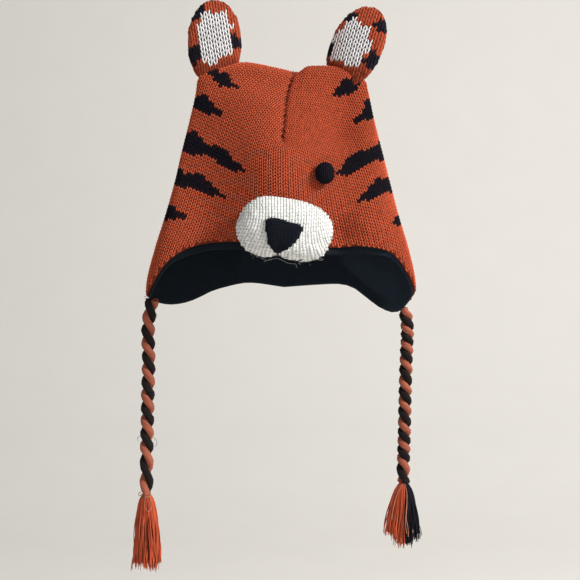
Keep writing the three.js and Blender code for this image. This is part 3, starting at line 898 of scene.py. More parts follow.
def knit(
    name, stitches, colours, material, seed, plump=0.165, relief=0.62, rise=0.42,
    spread=0.15, reach=0.70, deep_shade=0.4, sink=0.7, tip_power=3, bend=0.0, held=None,
):  # fmt: skip
    """A piece of knit: two legs for each stitch, in one colour or in one for each stitch.
    plump is half a leg's width as a share of the stitch, relief half its thickness in
    millimetres, rise how high its middle stands, spread how far the legs part, and reach
    half a leg's length as a share of the stitch. sink is how deep the legs' ends lie,
    deep_shade how dark they get, tip_power how near the ends that starts, and bend how
    far the form falls away over one course. held moves points that would stand out past
    the piece's outline."""
    chance = np.random.default_rng(seed)
    count = len(stitches["at"])
    colours = np.broadcast_to(colours, (count, 3))
    s = LEG_ALONG[None, :]
    jitter = chance.normal(0, 1, (count, 4))
    points, tints = [], []
    # The yarn lies a little unevenly, so each stitch has small shifts of its own.
    for side in (-1, 1):
        aside = side * (LEG_GAP + spread * (1.3 * s - 0.3 * s**3) + 0.02 * (1 - s**2))
        aside = aside + jitter[:, :1] * 0.015
        aside = aside + LEG_ASIDE[None, :] * side * plump * (1 + jitter[:, 2:3] * 0.04)
        along = reach * s + 0.04 + jitter[:, 1:2] * 0.03
        out = rise - sink * s**2 + LEG_OUT[None, :] * relief + jitter[:, 3:4] * 0.04
        out = out - np.reshape(bend, (-1, 1)) * along**2
        place = (
            stitches["at"][:, None, :]
            + aside[:, :, None] * stitches["wale"][:, None, :]
            + along[:, :, None] * stitches["course"][:, None, :]
            + out[:, :, None] * stitches["out"][:, None, :]
        )
        points.append(place if held is None else held(place))
        own = 1 + chance.normal(0, 0.055, (count, 1))
        # The ends lie deeper in the cloth, and their colour is darkened there: painted shade.
        depth = 1 - deep_shade * np.abs(s) ** tip_power
        tints.append(colours[:, None, :] * (own * depth)[:, :, None])
    size = len(leg_points)
    faces = []
    for side, order in ((0, 1), (1, -1)):
        shape = [tuple(f[::order]) for f in leg_faces]
        for n in range(3, 5):
            own = np.array([f for f in shape if len(f) == n])
            start = (np.arange(count) + side * count) * size
            faces += (own[None, :, :] + start[:, None, None]).reshape(-1, n).tolist()
    points, tints = (np.concatenate(both).reshape(-1, 3) for both in (points, tints))
    made = make_mesh(name, points, faces, material, tints, np.tile(LEG_PLY, (2 * count, 1)))
    print(name, count, "stitches,", triangles_of(made), "triangles")
    return made


# %% [markdown]
# ## Stripes and marks
#
# The stripes are knitted in: a stitch is wholly one colour, which gives their edges small
# steps. So the chart decides each stitch by its middle, from outlines on the hat's
# middle plane. The back repeats the front's stripes, because one can't see it.

# %% The chart
STRIPES = [
    [(-77, 5.5), (-70.5, 8.5), (-64, 4.5), (-57, 4.5), (-55, -1.5), (-50, -6.5), (-45, -10.5),
     (-49, -12), (-56, -11), (-65, -9.5), (-70, -4.5), (-73.5, 1)],
    [(-96, -18), (-90, -21), (-81, -16), (-75.5, -18.5), (-73, -25), (-67, -31.5),
     (-59.5, -38.5), (-62.5, -40.5), (-69.3, -38.2), (-78, -39.1), (-84, -35.5), (-91, -32.5),
     (-102, -31)],
    [(-112, -52), (-98, -58), (-89.5, -54.5), (-86, -58.5), (-81, -64.5), (-76, -68.5),
     (-64, -69.5), (-57.5, -73.5), (-50, -83), (-44, -88.5), (-38.7, -94.5), (-42, -96.5),
     (-49, -94.5), (-56.5, -92.5), (-65, -87.5), (-71, -82), (-78, -78.5), (-90, -79.5),
     (-100.5, -74.5), (-114, -70)],
    [(-120, -84), (-106, -91.5), (-100, -96.5), (-93, -96.8), (-83, -97), (-78, -102.5),
     (-72, -108), (-65.4, -114.1), (-56.2, -121.3), (-64.4, -120.7), (-73, -119.7),
     (-79, -118.2), (-84, -113.5), (-93, -111.5), (-103, -111.5), (-109.3, -107.5),
     (-122, -104)],
    [(-126, -120), (-114.4, -127.5), (-108.5, -131.5), (-103, -135.5), (-98, -138.9),
     (-96, -141.5), (-104.5, -142), (-116, -144.2), (-128, -144.2)],
    [(47.5, -19), (53.3, -12), (57.7, -5.5), (64, -1.5), (70.6, -0.5), (78.7, -3), (75, -11.5),
     (69, -15.5), (59.5, -19.1), (51, -20.8)],
    [(68, -44.5), (74.5, -39.5), (79, -32.5), (81, -25.5), (85, -23.5), (98, -24), (104, -44),
     (92, -42.5), (79, -44.5), (71, -46.5)],
    [(50.5, -97.3), (56.5, -91.5), (62, -84), (68, -77.5), (72, -74.5), (83.5, -74.5),
     (90.3, -70.5), (96, -63.5), (106, -56), (112, -87), (101.7, -85.5), (91, -84),
     (80.5, -90), (73, -96), (66, -98.5), (58, -98.9)],
    [(72.3, -124), (79, -117.5), (86, -110.5), (92.5, -102.2), (100, -101.5), (105, -102.5),
     (120, -106), (122, -118), (110, -116.5), (101, -116), (95, -120.5), (88, -123.5),
     (76, -125.5)],
    [(108, -145.5), (114, -137), (126, -137), (126, -149), (110, -148.5)],
]  # fmt: skip


def inside(outline, places):
    """Which places lie inside an outline."""
    outline = np.array(outline, float)
    hits = np.zeros(len(places), bool)
    for (x1, z1), (x2, z2) in zip(outline, np.roll(outline, -1, axis=0)):
        crosses = (z1 > places[:, 1]) != (z2 > places[:, 1])
        rise = (z2 - z1) if abs(z2 - z1) > NEAR_ZERO else NEAR_ZERO
        hits ^= crosses & (places[:, 0] < (x2 - x1) * (places[:, 1] - z1) / rise + x1)
    return hits


def in_any(outlines, places):
    """Which places lie inside any of several outlines."""
    return np.any([inside(outline, places) for outline in outlines], axis=0)


# %% [markdown]
# ## The knitted body
#
# The cloth is first laid out as a grid over the form, finer near the middle seams. Above
# the foot of the front seam the grid is slit, so that the numbers may jump there as the
# stitches of the two sides run into the seam. The back has the same seam.

# %% The grid of the body
BACKING_DEPTH, BACKING_WALL = 1.0, 1.9
quarter = 90 * (0.30 * np.linspace(0, 1, 42) + 0.70 * np.linspace(0, 1, 42) ** 1.5)
near_side = np.concatenate([quarter, 180 - quarter[-2::-1]])
ANGLES = np.concatenate([-near_side[::-1], near_side[1:]])
ROWS = np.concatenate([np.linspace(0, WALL_TOP, 68), np.linspace(WALL_TOP, CAP_TOP, 8)[1:]])
MIDDLE = len(near_side) - 1


def slit_grid(surface, slit_from):
    """Points, faces and rows of a grid whose middle column is slit open from a height up."""
    rows, columns = surface.shape[:2]
    points = surface.reshape(-1, 3)
    index = np.arange(rows * columns).reshape(rows, columns)
    right = index[:, MIDDLE].copy()
    open_rows = surface[:, MIDDLE, 2] > slit_from
    right[open_rows] = rows * columns + np.arange(open_rows.sum())
    points = np.vstack([points, surface[open_rows, MIDDLE]])
    row_of = np.concatenate([np.repeat(ROWS, columns), ROWS[open_rows]])
    start, end = index[:, :-1].copy(), index[:, 1:].copy()
    start[:, MIDDLE] = right
    return points, two_triangles(start[:-1], end[:-1], end[1:], start[1:]), row_of


body_surface = hat_form(ANGLES[None, :], ROWS[:, None], BACKING_DEPTH)
body_points, body_faces, body_rows = slit_grid(body_surface, SEAM_FOOT)
upwards, onwards = grid_ways(body_surface)
print("body grid:", body_surface.shape, len(body_faces), "faces")


# %% Numbering the body
RIM_MARGIN = 0.12
# The share of a face's normal that points to the front or back. Below EDGE_ON the face is
# seen edge-on, and above FACING the directions of the table hold fully.
EDGE_ON, FACING = 0.05, 0.45


def tangent_seen(across, up, normals):
    """The direction on each face that the front shows as (across, up)."""
    away = -(across * normals[:, 0] + up * normals[:, 2])
    depth = away / np.where(np.abs(normals[:, 1]) < EDGE_ON, EDGE_ON, normals[:, 1])
    return unit(np.stack([across, depth, up], axis=1))


normals, _, _ = face_frames(body_points, body_faces)
middles = body_points[body_faces].mean(axis=1)
places = seen_from_front(middles)
on_left = places[:, 0] < curve(SEAM_PATH, places[:, 1])
measured = np.where(
    on_left[:, None], blended(LEFT_KNIT, places), blended(RIGHT_KNIT, places)
)
towards_middle = np.where(on_left, 1.0, -1.0)
lean = np.radians(measured[:, LEAN])
fall = np.radians(measured[:, FALL])
facing = ease(np.abs(normals[:, 1]) / FACING)[:, None]
wale_way = tangent_seen(towards_middle * np.sin(lean), np.cos(lean), normals)
wale_way = unit(facing * wale_way + (1 - facing) * unit(upwards))
course_way = tangent_seen(np.cos(fall), -towards_middle * np.sin(fall), normals)
level_way = unit(np.cross(wale_way, normals))
level_way *= np.sign((level_way * course_way).sum(axis=1, keepdims=True))
course_way = unit(facing * course_way + (1 - facing) * level_way)
wales = numbered(
    body_points,
    body_faces,
    in_plane_normal(wale_way, normals, onwards) / measured[:, WIDTH : WIDTH + 1],
)
courses = numbered(
    body_points, body_faces, in_plane_normal(course_way, normals, upwards) / COURSE_HEIGHT
)
body_stitches = stitch_places(body_points, body_faces, wales, courses, body_rows)
body_stitches = some(body_stitches, body_stitches["level"] > RIM_MARGIN)
wale_steps = np.linalg.norm(body_stitches["wale"], axis=1)
course_steps = np.linalg.norm(body_stitches["course"], axis=1)
print("stitch width, 5% to 95%:", np.percentile(wale_steps, (5, 50, 95)).round(2))
print("stitch height, 5% to 95%:", np.percentile(course_steps, (5, 50, 95)).round(2))

# %% Knitting the body
# The half width of the painted shade along the middle seam, and the width of the chain that closes
# the back.
SEAM_SHADE_HALF_WIDTH = 1.5
CHAIN_WIDTH = 4.2

is_stripe = in_any(STRIPES, seen_from_front(body_stitches["at"]))
is_back = body_stitches["out"][:, 1] > 0
from_seam = body_stitches["at"][:, 0] - curve(SEAM_PATH, body_stitches["at"][:, 2])
is_left = from_seam < 0
# Stitches near the middle seam are darkened: painted shade in the seam's furrow.
seam_painted_shade = bell(from_seam, SEAM_SHADE_HALF_WIDTH) * ease((body_stitches["at"][:, 2] - SEAM_FOOT) / 8)
body_colours = np.array(ORANGE) * (1 - 0.5 * seam_painted_shade)[:, None]
body_pieces = []
for name, chosen in (
    ("body_front_left_knit", ~is_stripe & ~is_back & is_left),
    ("body_front_right_knit", ~is_stripe & ~is_back & ~is_left),
    ("body_back_left_knit", ~is_stripe & is_back & is_left),
    ("body_back_right_knit", ~is_stripe & is_back & ~is_left),
):
    own = some(body_stitches, chosen)
    body_pieces.append(knit(name, own, body_colours[chosen], KNIT_YARN, seed=11))
# A single chain of stitches closes the middle of the back.
chain_rows = np.arange(0.6, WALL_TOP - 0.3, 0.22)
chain_at = hat_form(180.0, chain_rows, BACKING_DEPTH * 0.6)
chain_up = unit(np.gradient(chain_at, axis=0))
chain_run = distances_along(chain_at)
chain_steps = np.arange(0, chain_run[-1], COURSE_HEIGHT)
chain = {
    "at": read_line(chain_steps, chain_run, chain_at),
    "course": COURSE_HEIGHT * read_line(chain_steps, chain_run, chain_up),
    "wale": np.tile([-CHAIN_WIDTH, 0.0, 0.0], (len(chain_steps), 1)),
}
chain["out"] = unit(np.cross(chain["course"], [-1.0, 0, 0]))
chain["out"] *= np.sign(chain["out"][:, 1:2])
body_pieces.append(knit("back_seam_knit", chain, ORANGE, KNIT_YARN, seed=13))
stripes = some(body_stitches, is_stripe)
stripe_knit = knit("body_stripe_knit", stripes, BLACK, BLACK_YARN, seed=12)


# %% [markdown]
# ## The cloth behind the stitches
#
# Between the legs of the stitches one sees the back of the loops, in shade. It is a thin
# cloth just under them, coloured darker than the yarn: painted shade. It is a grid laid over
# the same form and given a wall by a Solidify modifier, which keeps it closed all round.

# %% A cloth laid over the form
# Points nearer than WELD are joined, which closes the cloth at the back and the crown.
CLOTH_ANGLES = ANGLES[::2]
WELD = 0.05


def cloth(name, depth, wall, lips, material, shade):
    """A wall of cloth between a depth and a deeper one, open at the rim. The lips say how
    far its edge hangs below the rim at each angle."""
    bpy.ops.mesh.primitive_grid_add(
        x_subdivisions=len(CLOTH_ANGLES) - 1, y_subdivisions=len(ROWS) - 1, size=2
    )
    made = bpy.context.active_object
    made.name = made.data.name = name
    flat = np.array([v.co[:2] for v in made.data.vertices])
    column = np.rint((flat[:, 0] + 1) / 2 * (len(CLOTH_ANGLES) - 1)).astype(int)
    row = np.rint((flat[:, 1] + 1) / 2 * (len(ROWS) - 1)).astype(int)
    move_points(made, hat_form(CLOTH_ANGLES[column], ROWS[row], depth, lips[column]))
    turn_faces(made, weld=WELD)
    outwards = sum(p.normal.dot(p.center - Vector((0, 0, p.center.z))) for p in made.data.polygons)
    if outwards < 0:
        made.data.flip_normals()
    wall_maker = made.modifiers.new("wall", "SOLIDIFY")
    wall_maker.thickness = wall * MM
    wall_maker.offset = -1
    bpy.ops.object.modifier_apply(modifier=wall_maker.name)
    dress(made, material, shade(points_of(made)))
    print(name, triangles_of(made), "triangles")
    return made


def backing_painted_shade(at):
    """The backs of the loops, orange or black as the stitches over them, darkened: painted shade
    between the stitches.
    """
    stripe = in_any(STRIPES, seen_from_front(at))
    return np.where(stripe[:, None], np.array(BLACK) * 0.8, np.array(ORANGE) * PAINTED_GAP_SHADE)


backing_finish = Finish("knit_backing", roughness=0.95)
backing_finish.look(
    backing_finish.own_colour(), 0.7 + backing_finish.grain(700.0, 2.0) * 0.6
)
backing_finish.relief(0.7, 0.0004, backing_finish.grain(1400.0))
no_lip = np.zeros(len(CLOTH_ANGLES))
backing = cloth(
    "body_backing", BACKING_DEPTH, BACKING_WALL, no_lip, backing_finish.material, backing_painted_shade
)

# %% [markdown]
# ## The fleece lining
#
# Fleece is a dense black pile with no thread to see, only a soft mottling and a sheen at
# grazing angles. Under the front arch it shows as a lip below the knit.

# %% Lining
LINING_DEPTH, LINING_WALL = 3.3, 1.5
FLEECE = (0.0085, 0.0125, 0.0185)

fleece = Finish("black_fleece", roughness=0.95, sheen=0.02)
pile = fleece.grain(900.0, 4.0)
wear = fleece.grain(60.0, 2.0)
fleece.look(fleece.own_colour(), 0.55 + pile * 0.6 + wear * 0.3)
fleece.relief(0.9, 0.0006, pile)

# The lining's seam and the crease of the right flap, as x and z on the middle plane.
LINING_SEAM = [(-44, -150), (-44.5, -185), (-45, -215)]
FLAP_CREASE = [(40, -160), (54, -175.5), (67, -190.5), (81, -203.5), (106, -222.5)]


def beside(line, places):
    """How far places lie to the right of a line that runs down, in millimetres."""
    rows = [(z, x) for x, z in line]
    return places[:, 0] - curve(rows, places[:, 1])


def fleece_shade(at):
    """The lip and the cloth left of the seam are a little darker than the rest, the seam darker
    still, and past the crease it is lighter: painted light where the flap's inner face turns to the
    light."""
    places = seen_from_front(at * [1, -1, 1])
    is_lip = (at[:, 1] < -20) & (at[:, 2] < -160)
    # Past the crease the fleece is made lighter: painted light.
    crease_painted_light = ease(beside(FLAP_CREASE, places) / 2 + 0.5)
    past_seam = ease(beside(LINING_SEAM, places) / 2 + 0.5)
    shade = np.where(is_lip, 0.9, 0.85 + 0.2 * past_seam + 0.85 * crease_painted_light)
    shade = shade * (1 - 0.4 * bell(beside(LINING_SEAM, places), 1.6))
    return np.array(FLEECE) * shade[:, None]


# The lip hangs 2.4 mm below the rim, and 7 mm under the front arch.
lining_lip = 2.4 + 4.6 * ease((72 - np.abs(CLOTH_ANGLES)) / 30)
lining = cloth(
    "fleece_lining_cloth", LINING_DEPTH, LINING_WALL, lining_lip, fleece.material, fleece_shade
)

# %% [markdown]
# ## Padded ears
#
# Each ear is two knitted ovals sewn together over a little filling. A sphere is the
# nearest primitive: it has a pole at the top and the bottom, and its rings become the
# ear's widths by height. The front has a white patch and dark marks knitted in.

# %% Ear tables
EAR_WIDTHS = [
    (-16, 0), (-14, 10), (-6, 17), (2, 21.8), (10, 25), (20, 26.5), (32, 26.6), (41, 25.6),
    (50, 23), (57, 19.5), (63, 15), (67, 10.3), (69.5, 5), (70.3, 0),
]  # fmt: skip
EAR_THICKNESS = 0.29
# The colour seen in the holes of the white patch: painted shade.
EAR_HOLE_SHADE = (0.07, 0.062, 0.06)
EAR_FOOT, EAR_TOP = -16.0, 70.3
LEFT_PATCH = [
    (-85.6, 54.1), (-83, 62.5), (-76, 64.5), (-68, 64.5), (-59, 63.5), (-57, 52), (-52.2, 52),
    (-52.2, 25.5), (-55, 20.5), (-63, 18.8), (-67.3, 13.5), (-76.4, 12), (-79.5, 16.5),
    (-83, 22.9), (-86, 33.5), (-88.7, 41.2), (-85, 44.9),
]  # fmt: skip
LEFT_EAR_MARKS = [
    [(-92, 80), (-76, 66), (-80, 62), (-92, 53.5), (-95, 48), (-100, 55)],
    [(-100, 28), (-94.3, 28), (-86.7, 32.1), (-83, 20.5), (-82, 17.8), (-88.2, 13.5),
     (-89.7, 11.2), (-96, 16), (-100, 22)],
    [(-51.4, 40.8), (-47.4, 39.8), (-43, 33.6), (-40, 30), (-44, 27), (-49, 28), (-52, 27.5)],
]  # fmt: skip
RIGHT_PATCH = [
    (65.4, 56.5), (60.9, 51.8), (58, 50.1), (50.5, 43.8), (48.8, 36.5), (48.8, 15.7),
    (50.5, 13.6), (58.6, 13.9), (66.6, 11.6), (73, 8.8), (77, 12.8), (81.5, 21.5),
    (85.5, 28.9), (89, 36.5), (85.5, 37.5), (86, 47.8), (77, 53.5), (71, 58),
]  # fmt: skip
RIGHT_EAR_MARKS = [
    [(43, 38), (48.8, 36.5), (48.8, 24.5), (41, 23)],
    [(85.5, 26.5), (93, 21.5), (103, 24), (98, 10), (89.6, 5.5), (83.8, 7.5), (78.6, 12.8)],
    [(86.5, 54.5), (104, 56), (107, 40), (99.5, 41.5), (93, 46)],
    [(60, 64), (66, 56), (72, 58), (72, 66)],
]  # fmt: skip
EARS = {
    "left": {"x": -69.5, "z": 6.5, "turn": 0.0, "twist": 0.0, "widen": 1.0,
             "lean": -9.0, "rise": 18.0, "size": (5.35, 4.9)},
    "right": {"x": 62.0, "z": 4.5, "turn": 22.0, "twist": -24.0, "widen": 1.06,
              "lean": 16.5, "rise": -10.0, "size": (5.7, 4.7)},
}  # fmt: skip


def ear_place(seat, wide, thick, level):
    """A place of an ear, from its width, thickness and height, on the turned ear."""
    across, forward = turned(wide, thick, seat["twist"])
    dx, dz = turned(across, level, seat["turn"])
    return np.stack([seat["x"] + dx, -forward, seat["z"] + dz], axis=-1)


def ear_form(seat, angle, height, inset):
    """Points of an ear. Angles are in degrees, with the front at 0."""
    angle, height = np.broadcast_arrays(angle, height)
    turn = np.radians(angle)
    level = np.clip(height, EAR_FOOT + inset, EAR_TOP - inset)
    wide = np.maximum(curve(EAR_WIDTHS, height) * seat["widen"] - inset, 0)
    thick = np.maximum(EAR_THICKNESS * curve(EAR_WIDTHS, height) - inset, 0)
    return ear_place(seat, wide * np.sin(turn), thick * np.cos(turn), level)


def ear_level(seat, points):
    """How far points lie across an ear's upright line, and how high along it."""
    return turned(points[..., 0] - seat["x"], points[..., 2] - seat["z"], -seat["turn"])


def inside_ear(seat, points):
    """Points of an ear's knit, with those past its skin moved back to it."""
    across, level = ear_level(seat, points)
    level = np.minimum(level, EAR_TOP + 0.3)
    wide, thick = turned(across, -points[..., 1], -seat["twist"])
    widest = curve(EAR_WIDTHS, level)
    past = np.hypot(wide / (widest * seat["widen"] + 0.8), thick / (EAR_THICKNESS * widest + 1.5))
    past = np.maximum(past, 1)
    return ear_place(seat, wide / past, thick / past, level)


# %% What lies outside the body
skin = hat_form(CLOTH_ANGLES[None, :], ROWS[:, None], 0.0)
skin_index = np.arange(skin.shape[0] * skin.shape[1]).reshape(skin.shape[:2])
skin_quads = np.stack(
    [skin_index[:-1, :-1], skin_index[:-1, 1:], skin_index[1:, 1:], skin_index[1:, :-1]], axis=-1
).reshape(-1, 4)
skin_tree = BVHTree.FromPolygons(skin.reshape(-1, 3).tolist(), skin_quads.tolist())


def nearest_skin(point):
    """The nearest place on the body's surface, its normal, and how far outside a point is."""
    place, normal, _, _ = skin_tree.find_nearest(Vector(point))
    return place, normal, (Vector(point) - place).dot(normal)


def out_of_body(points):
    """How far each point is outside the body's surface, in millimetres."""
    return np.array([nearest_skin(point)[2] for point in points])


print("outside and inside:", out_of_body([(0, -200, -100), (0, 0, -100)]).round(1))


# %% Shaping a sphere into a form
def shaped_sphere(name, segments, rings, place):
    """A sphere whose points are moved by place(angle in degrees, share of its height)."""
    bpy.ops.mesh.primitive_uv_sphere_add(segments=segments, ring_count=rings, radius=1)
    made = bpy.context.active_object
    made.name = made.data.name = name
    co = np.array([v.co for v in made.data.vertices])
    angle = np.degrees(np.arctan2(co[:, 0], -co[:, 1]))
    share = np.arccos(np.clip(-co[:, 2], -1, 1)) / math.pi
    move_points(made, place(angle, share))
    turn_faces(made)
    return made


def sink_into_body(made, within=2.2):
    """Moves the points of a piece that reach into the body back to just under its surface."""
    points = points_of(made)
    for i, point in enumerate(points):
        place, normal, outside = nearest_skin(point)
        if outside < -within:
            points[i] = place - normal * within
    move_points(made, points)


# %% Making the ears
def half_grid(form, angles, levels):
    """A grid over one half of a form, with the ways up and round for each face."""
    surface = form(angles[None, :], levels[:, None])
    index = np.arange(surface.shape[0] * surface.shape[1]).reshape(surface.shape[:2])
    faces = two_triangles(index[:-1, :-1], index[:-1, 1:], index[1:, 1:], index[1:, :-1])
    return surface.reshape(-1, 3), faces, *grid_ways(surface)


# On small round pieces the seen directions fade out sooner than on the body.
SMALL_FACING = 0.85


def stitches_over(points, faces, up, on, lean, rise, size):
    """Stitches on a surface that the front or back shows leaning and rising by angles."""
    normals, _, _ = face_frames(points, faces)
    lean, rise = np.radians(lean) + 0 * normals[:, 0], np.radians(rise) + 0 * normals[:, 0]
    facing = ease(np.abs(normals[:, 1:2]) / SMALL_FACING)
    upright = unit(up)
    level = unit(np.cross(normals, upright))
    wale_way = tangent_seen(np.sin(lean), np.cos(lean), normals)
    wale_way = unit(facing * wale_way + (1 - facing) * upright)
    course_way = tangent_seen(np.cos(rise), np.sin(rise), normals)
    level = level * np.sign((level * course_way).sum(axis=1, keepdims=True))
    course_way = unit(facing * course_way + (1 - facing) * level)
    own_wales = numbered(points, faces, in_plane_normal(wale_way, normals, on) / size[0])
    own_courses = numbered(points, faces, in_plane_normal(course_way, normals, up) / size[1])
    return stitch_places(points, faces, own_wales, own_courses)


# The knitted part of an ear reaches from just over its foot to just under its top.
# EAR_INSET is how deep its surface lies in the ear's form, and CLEAR_OF_BODY how far
# outside the body a stitch must be to be made.
KNIT_FOOT, KNIT_TOP = -13.5, 70.0
EAR_INSET = 1.0
CLEAR_OF_BODY = 0.4


def make_ear(side, patch, marks):
    """An ear's padding and its knit."""
    seat = EARS[side]

    # The padding lies as deep as the stitches' surface, but reaches nearly to the rim.
    def core_place(angle, share):
        height = EAR_FOOT + (EAR_TOP - EAR_FOOT) * share
        inset = EAR_INSET * (1 - 0.9 * np.sin(np.radians(angle)) ** 8)
        return ear_form(seat, angle, height, inset)

    core = shaped_sphere(f"{side}_ear_padding", 40, 44, core_place)
    sink_into_body(core)
    halves = []
    heights = np.linspace(KNIT_FOOT, KNIT_TOP, 46)
    for start in (-90.0, 90.0):
        angles = start + 90 - 90 * np.cos(np.linspace(0, math.pi, 30))
        grid = half_grid(lambda a, h: ear_form(seat, a, h, EAR_INSET), angles, heights)
        facing = 1 if start < 0 else -1
        halves.append(stitches_over(*grid, seat["lean"], seat["rise"] * facing, seat["size"]))
    stitches = {k: np.concatenate([h[k] for h in halves]) for k in halves[0]}
    stitches = some(stitches, out_of_body(stitches["at"]) > CLEAR_OF_BODY)
    stitches = some(stitches, np.abs(stitches["out"][:, 1]) > 0.03)
    front = stitches["out"][:, 1] < 0
    places = seen_from_front(stitches["at"])
    white = front & inside(patch, places)
    dark = in_any(marks, places) & ~white
    # The ear's orange is darkened all over, a painted shadow, and more towards its foot: painted
    # shade in the crease there.
    ear_painted_shade = 0.72 * (0.62 + 0.38 * ease((ear_level(seat, stitches["at"])[1] - 3) / 15))[:, None]
    colours = np.where(
        white[:, None], WHITE, np.where(dark[:, None], BLACK, np.array(ORANGE) * ear_painted_shade)
    )
    # The white yarn is thin, and the legs of the stitches at the ear's rim are short.
    is_thin = white[:, None]
    at_rim = 1 - ease(np.abs(stitches["out"][:, 1:2]) / 0.6)
    made = knit(
        f"{side}_ear_knit", stitches, colours, KNIT_YARN, plump=np.where(is_thin, 0.145, 0.21),
        relief=np.where(is_thin, 0.6, 0.7), rise=0.4, seed=21 + (side == "right"),
        spread=np.where(is_thin, 0.145, 0.11), reach=0.76 - 0.24 * at_rim, deep_shade=0.3,
        sink=0.45, bend=fall_away(stitches), held=lambda points: inside_ear(seat, points),
    )  # fmt: skip
    # The padding under the orange knit and under the white patch is darker than the yarn: painted
    # shade between the stitches.
    at = points_of(core)
    seen = seen_from_front(at)
    under = np.where(
        in_any(marks, seen)[:, None],
        np.array(BLACK),
        np.where(
            (inside(patch, seen) & (at[:, 1] < 0))[:, None], EAR_HOLE_SHADE, np.array(ORANGE) * 0.45
        ),
    )
    dress(core, backing_finish.material, under)
    return core, made


left_ear_core, left_ear_knit = make_ear("left", LEFT_PATCH, LEFT_EAR_MARKS)
right_ear_core, right_ear_knit = make_ear("right", RIGHT_PATCH, RIGHT_EAR_MARKS)

# %% [markdown]
# ## The stuffed muzzle
#
# The muzzle is a knitted cap over a ball of filling, sewn down round its edge. Again a
# sphere is shaped, this time with its pole to the front. The sewn-on nose draws the
# wales in beside it, so they bow on either side.

# %% Muzzle form
MUZZLE = {"x": 0.5, "z": -156.5, "wide": 45.5, "high": 29.5, "depth": 34.0, "tilt": 8.0}
MUZZLE_SHARES = [
    (-16, 0.62), (-2, 0.93), (7, 1), (15, 0.965), (22, 0.87), (27.5, 0.72), (31.5, 0.5),
    (33.5, 0.25), (34, 0),
]  # fmt: skip
# The stitches lie on a surface this far inside the muzzle's own.
SKIN = 0.9
# The muzzle's outline, x and z, clockwise from its upper left shoulder.
MUZZLE_OUTLINE = [
    (-33, -130.5), (-22, -125), (0, -126), (20, -130), (37, -137.5), (45, -148), (47, -158),
    (43.5, -172), (37, -182), (20, -187), (5, -185.5), (-6, -181.5), (-20, -183.5),
    (-32, -179), (-41.5, -170), (-45.5, -156), (-42, -143),
]  # fmt: skip
# x, z, lean of the wales, rise of the courses, width of a stitch.
MUZZLE_KNIT = [
    (-34, -133, -2, 1, 5.6), (-22, -127, 2, 0, 6.2), (1, -126, 1, 0, 6.6),
    (20, -130, 4, -2, 6.4), (33, -140, 10, -6, 6.0), (-40, -150, 34, -14, 5.6),
    (-30, -150, 32, -14, 6.0), (-24, -140, 16, -7, 6.4), (-31, -162, 44, -18, 5.8),
    (-38, -158, 44, -18, 5.4), (-20, -158, 32, -14, 6.2), (-22, -173, 42, -16, 5.6),
    (-10, -177, 16, -6, 5.6), (-12, -138, 3, -1, 6.6), (8, -140, 2, -1, 6.6),
    (25, -148, 22, -10, 5.6), (36, -158, -38, 18, 4.9), (42, -150, -34, 16, 4.9),
    (26, -170, -12, 6, 5.4), (14, -178, -4, 2, 5.6), (38, -168, -42, 18, 5.0),
    (22, -160, 16, -8, 5.4), (34, -148, 4, 2, 5.4),
]  # fmt: skip


def face_depth(x, z):
    """How far forward the body's front surface is at a place."""
    wide = np.where(x >= 0, curve(SECTION, z, RIGHT_WIDTH), curve(SECTION, z, LEFT_WIDTH))
    side = np.minimum(np.abs(x) / wide, 1)
    deep = curve(SECTION, z, FRONT_DEPTH)
    return -deep * (1 - side**POWER) ** (1 / POWER) - front_relief(x, z)


MUZZLE_SEAT = float(face_depth(np.array(MUZZLE["x"]), np.array(MUZZLE["z"])))


def muzzle_oval(x, z):
    """The angle from the muzzle's top, and the share of its plain oval, at places."""
    across, up = turned(x - MUZZLE["x"], z - MUZZLE["z"], -MUZZLE["tilt"])
    across, up = across / MUZZLE["wide"], up / MUZZLE["high"]
    return np.degrees(np.arctan2(across, up)), np.hypot(across, up)


outline_angle, outline_share = muzzle_oval(*np.array(MUZZLE_OUTLINE, float).T)
MUZZLE_SWELL = sorted(
    (angle + turn, share)
    for turn in (-360, 0, 360)
    for angle, share in zip(outline_angle, outline_share)
)


def muzzle_form(angle, ahead):
    """Points of the muzzle under its stitches. Angles are in degrees, with 0 at the top,
    as seen from the front."""
    angle, ahead = np.broadcast_arrays(angle, ahead)
    turn = np.radians(angle)
    share = curve(MUZZLE_SHARES, ahead)
    share = share * (1 + (curve(MUZZLE_SWELL, angle) - 1) * ease(share / 0.9))
    ahead = ahead - SKIN * np.clip(ahead / MUZZLE["depth"], 0, 1)
    x = (MUZZLE["wide"] * share - SKIN * (share > 0)) * np.sin(turn)
    z = (MUZZLE["high"] * share - SKIN * (share > 0)) * np.cos(turn)
    across, up = turned(x, z, MUZZLE["tilt"])
    return np.stack([MUZZLE["x"] + across, MUZZLE_SEAT - ahead, MUZZLE["z"] + up], axis=-1)


def muzzle_depth(x, z):
    """How far forward the muzzle's front is at a place of it."""
    angle, share = muzzle_oval(x, z)
    share = share / curve(MUZZLE_SWELL, angle)
    ahead = np.linspace(MUZZLE["depth"], 8, 60)
    return MUZZLE_SEAT - np.interp(share, curve(MUZZLE_SHARES, ahead), ahead)


# %% Making the muzzle
# The height of a course, where the muzzle starts behind the face, and how far a stitch
# must stand out of the body to be made.
MUZZLE_COURSE = 3.5
SEAM_AHEAD = -7.0
JUST_CLEAR = 0.2
SIDEWAYS = np.array([[1.0, 0.0, 0.0]])
UPRIGHT = np.array([[0.0, 0.0, 1.0]])


def dome_levels():
    """Steps from the seam to the front pole that are about even along the surface."""
    fine = np.linspace(SEAM_AHEAD, MUZZLE["depth"], 400)
    middle_radius = 38
    profile = np.stack([fine, curve(MUZZLE_SHARES, fine) * middle_radius], axis=1)
    length = distances_along(profile)
    return np.interp(np.linspace(0, length[-1], 30), length, fine)


def muzzle_core_place(angle, share):
    """A place of the muzzle's padding, by the sphere's angle from its front."""
    levels = dome_levels()
    ahead = np.interp(share, np.linspace(0, 1, len(levels)), levels)
    return muzzle_form(180 - angle, ahead)


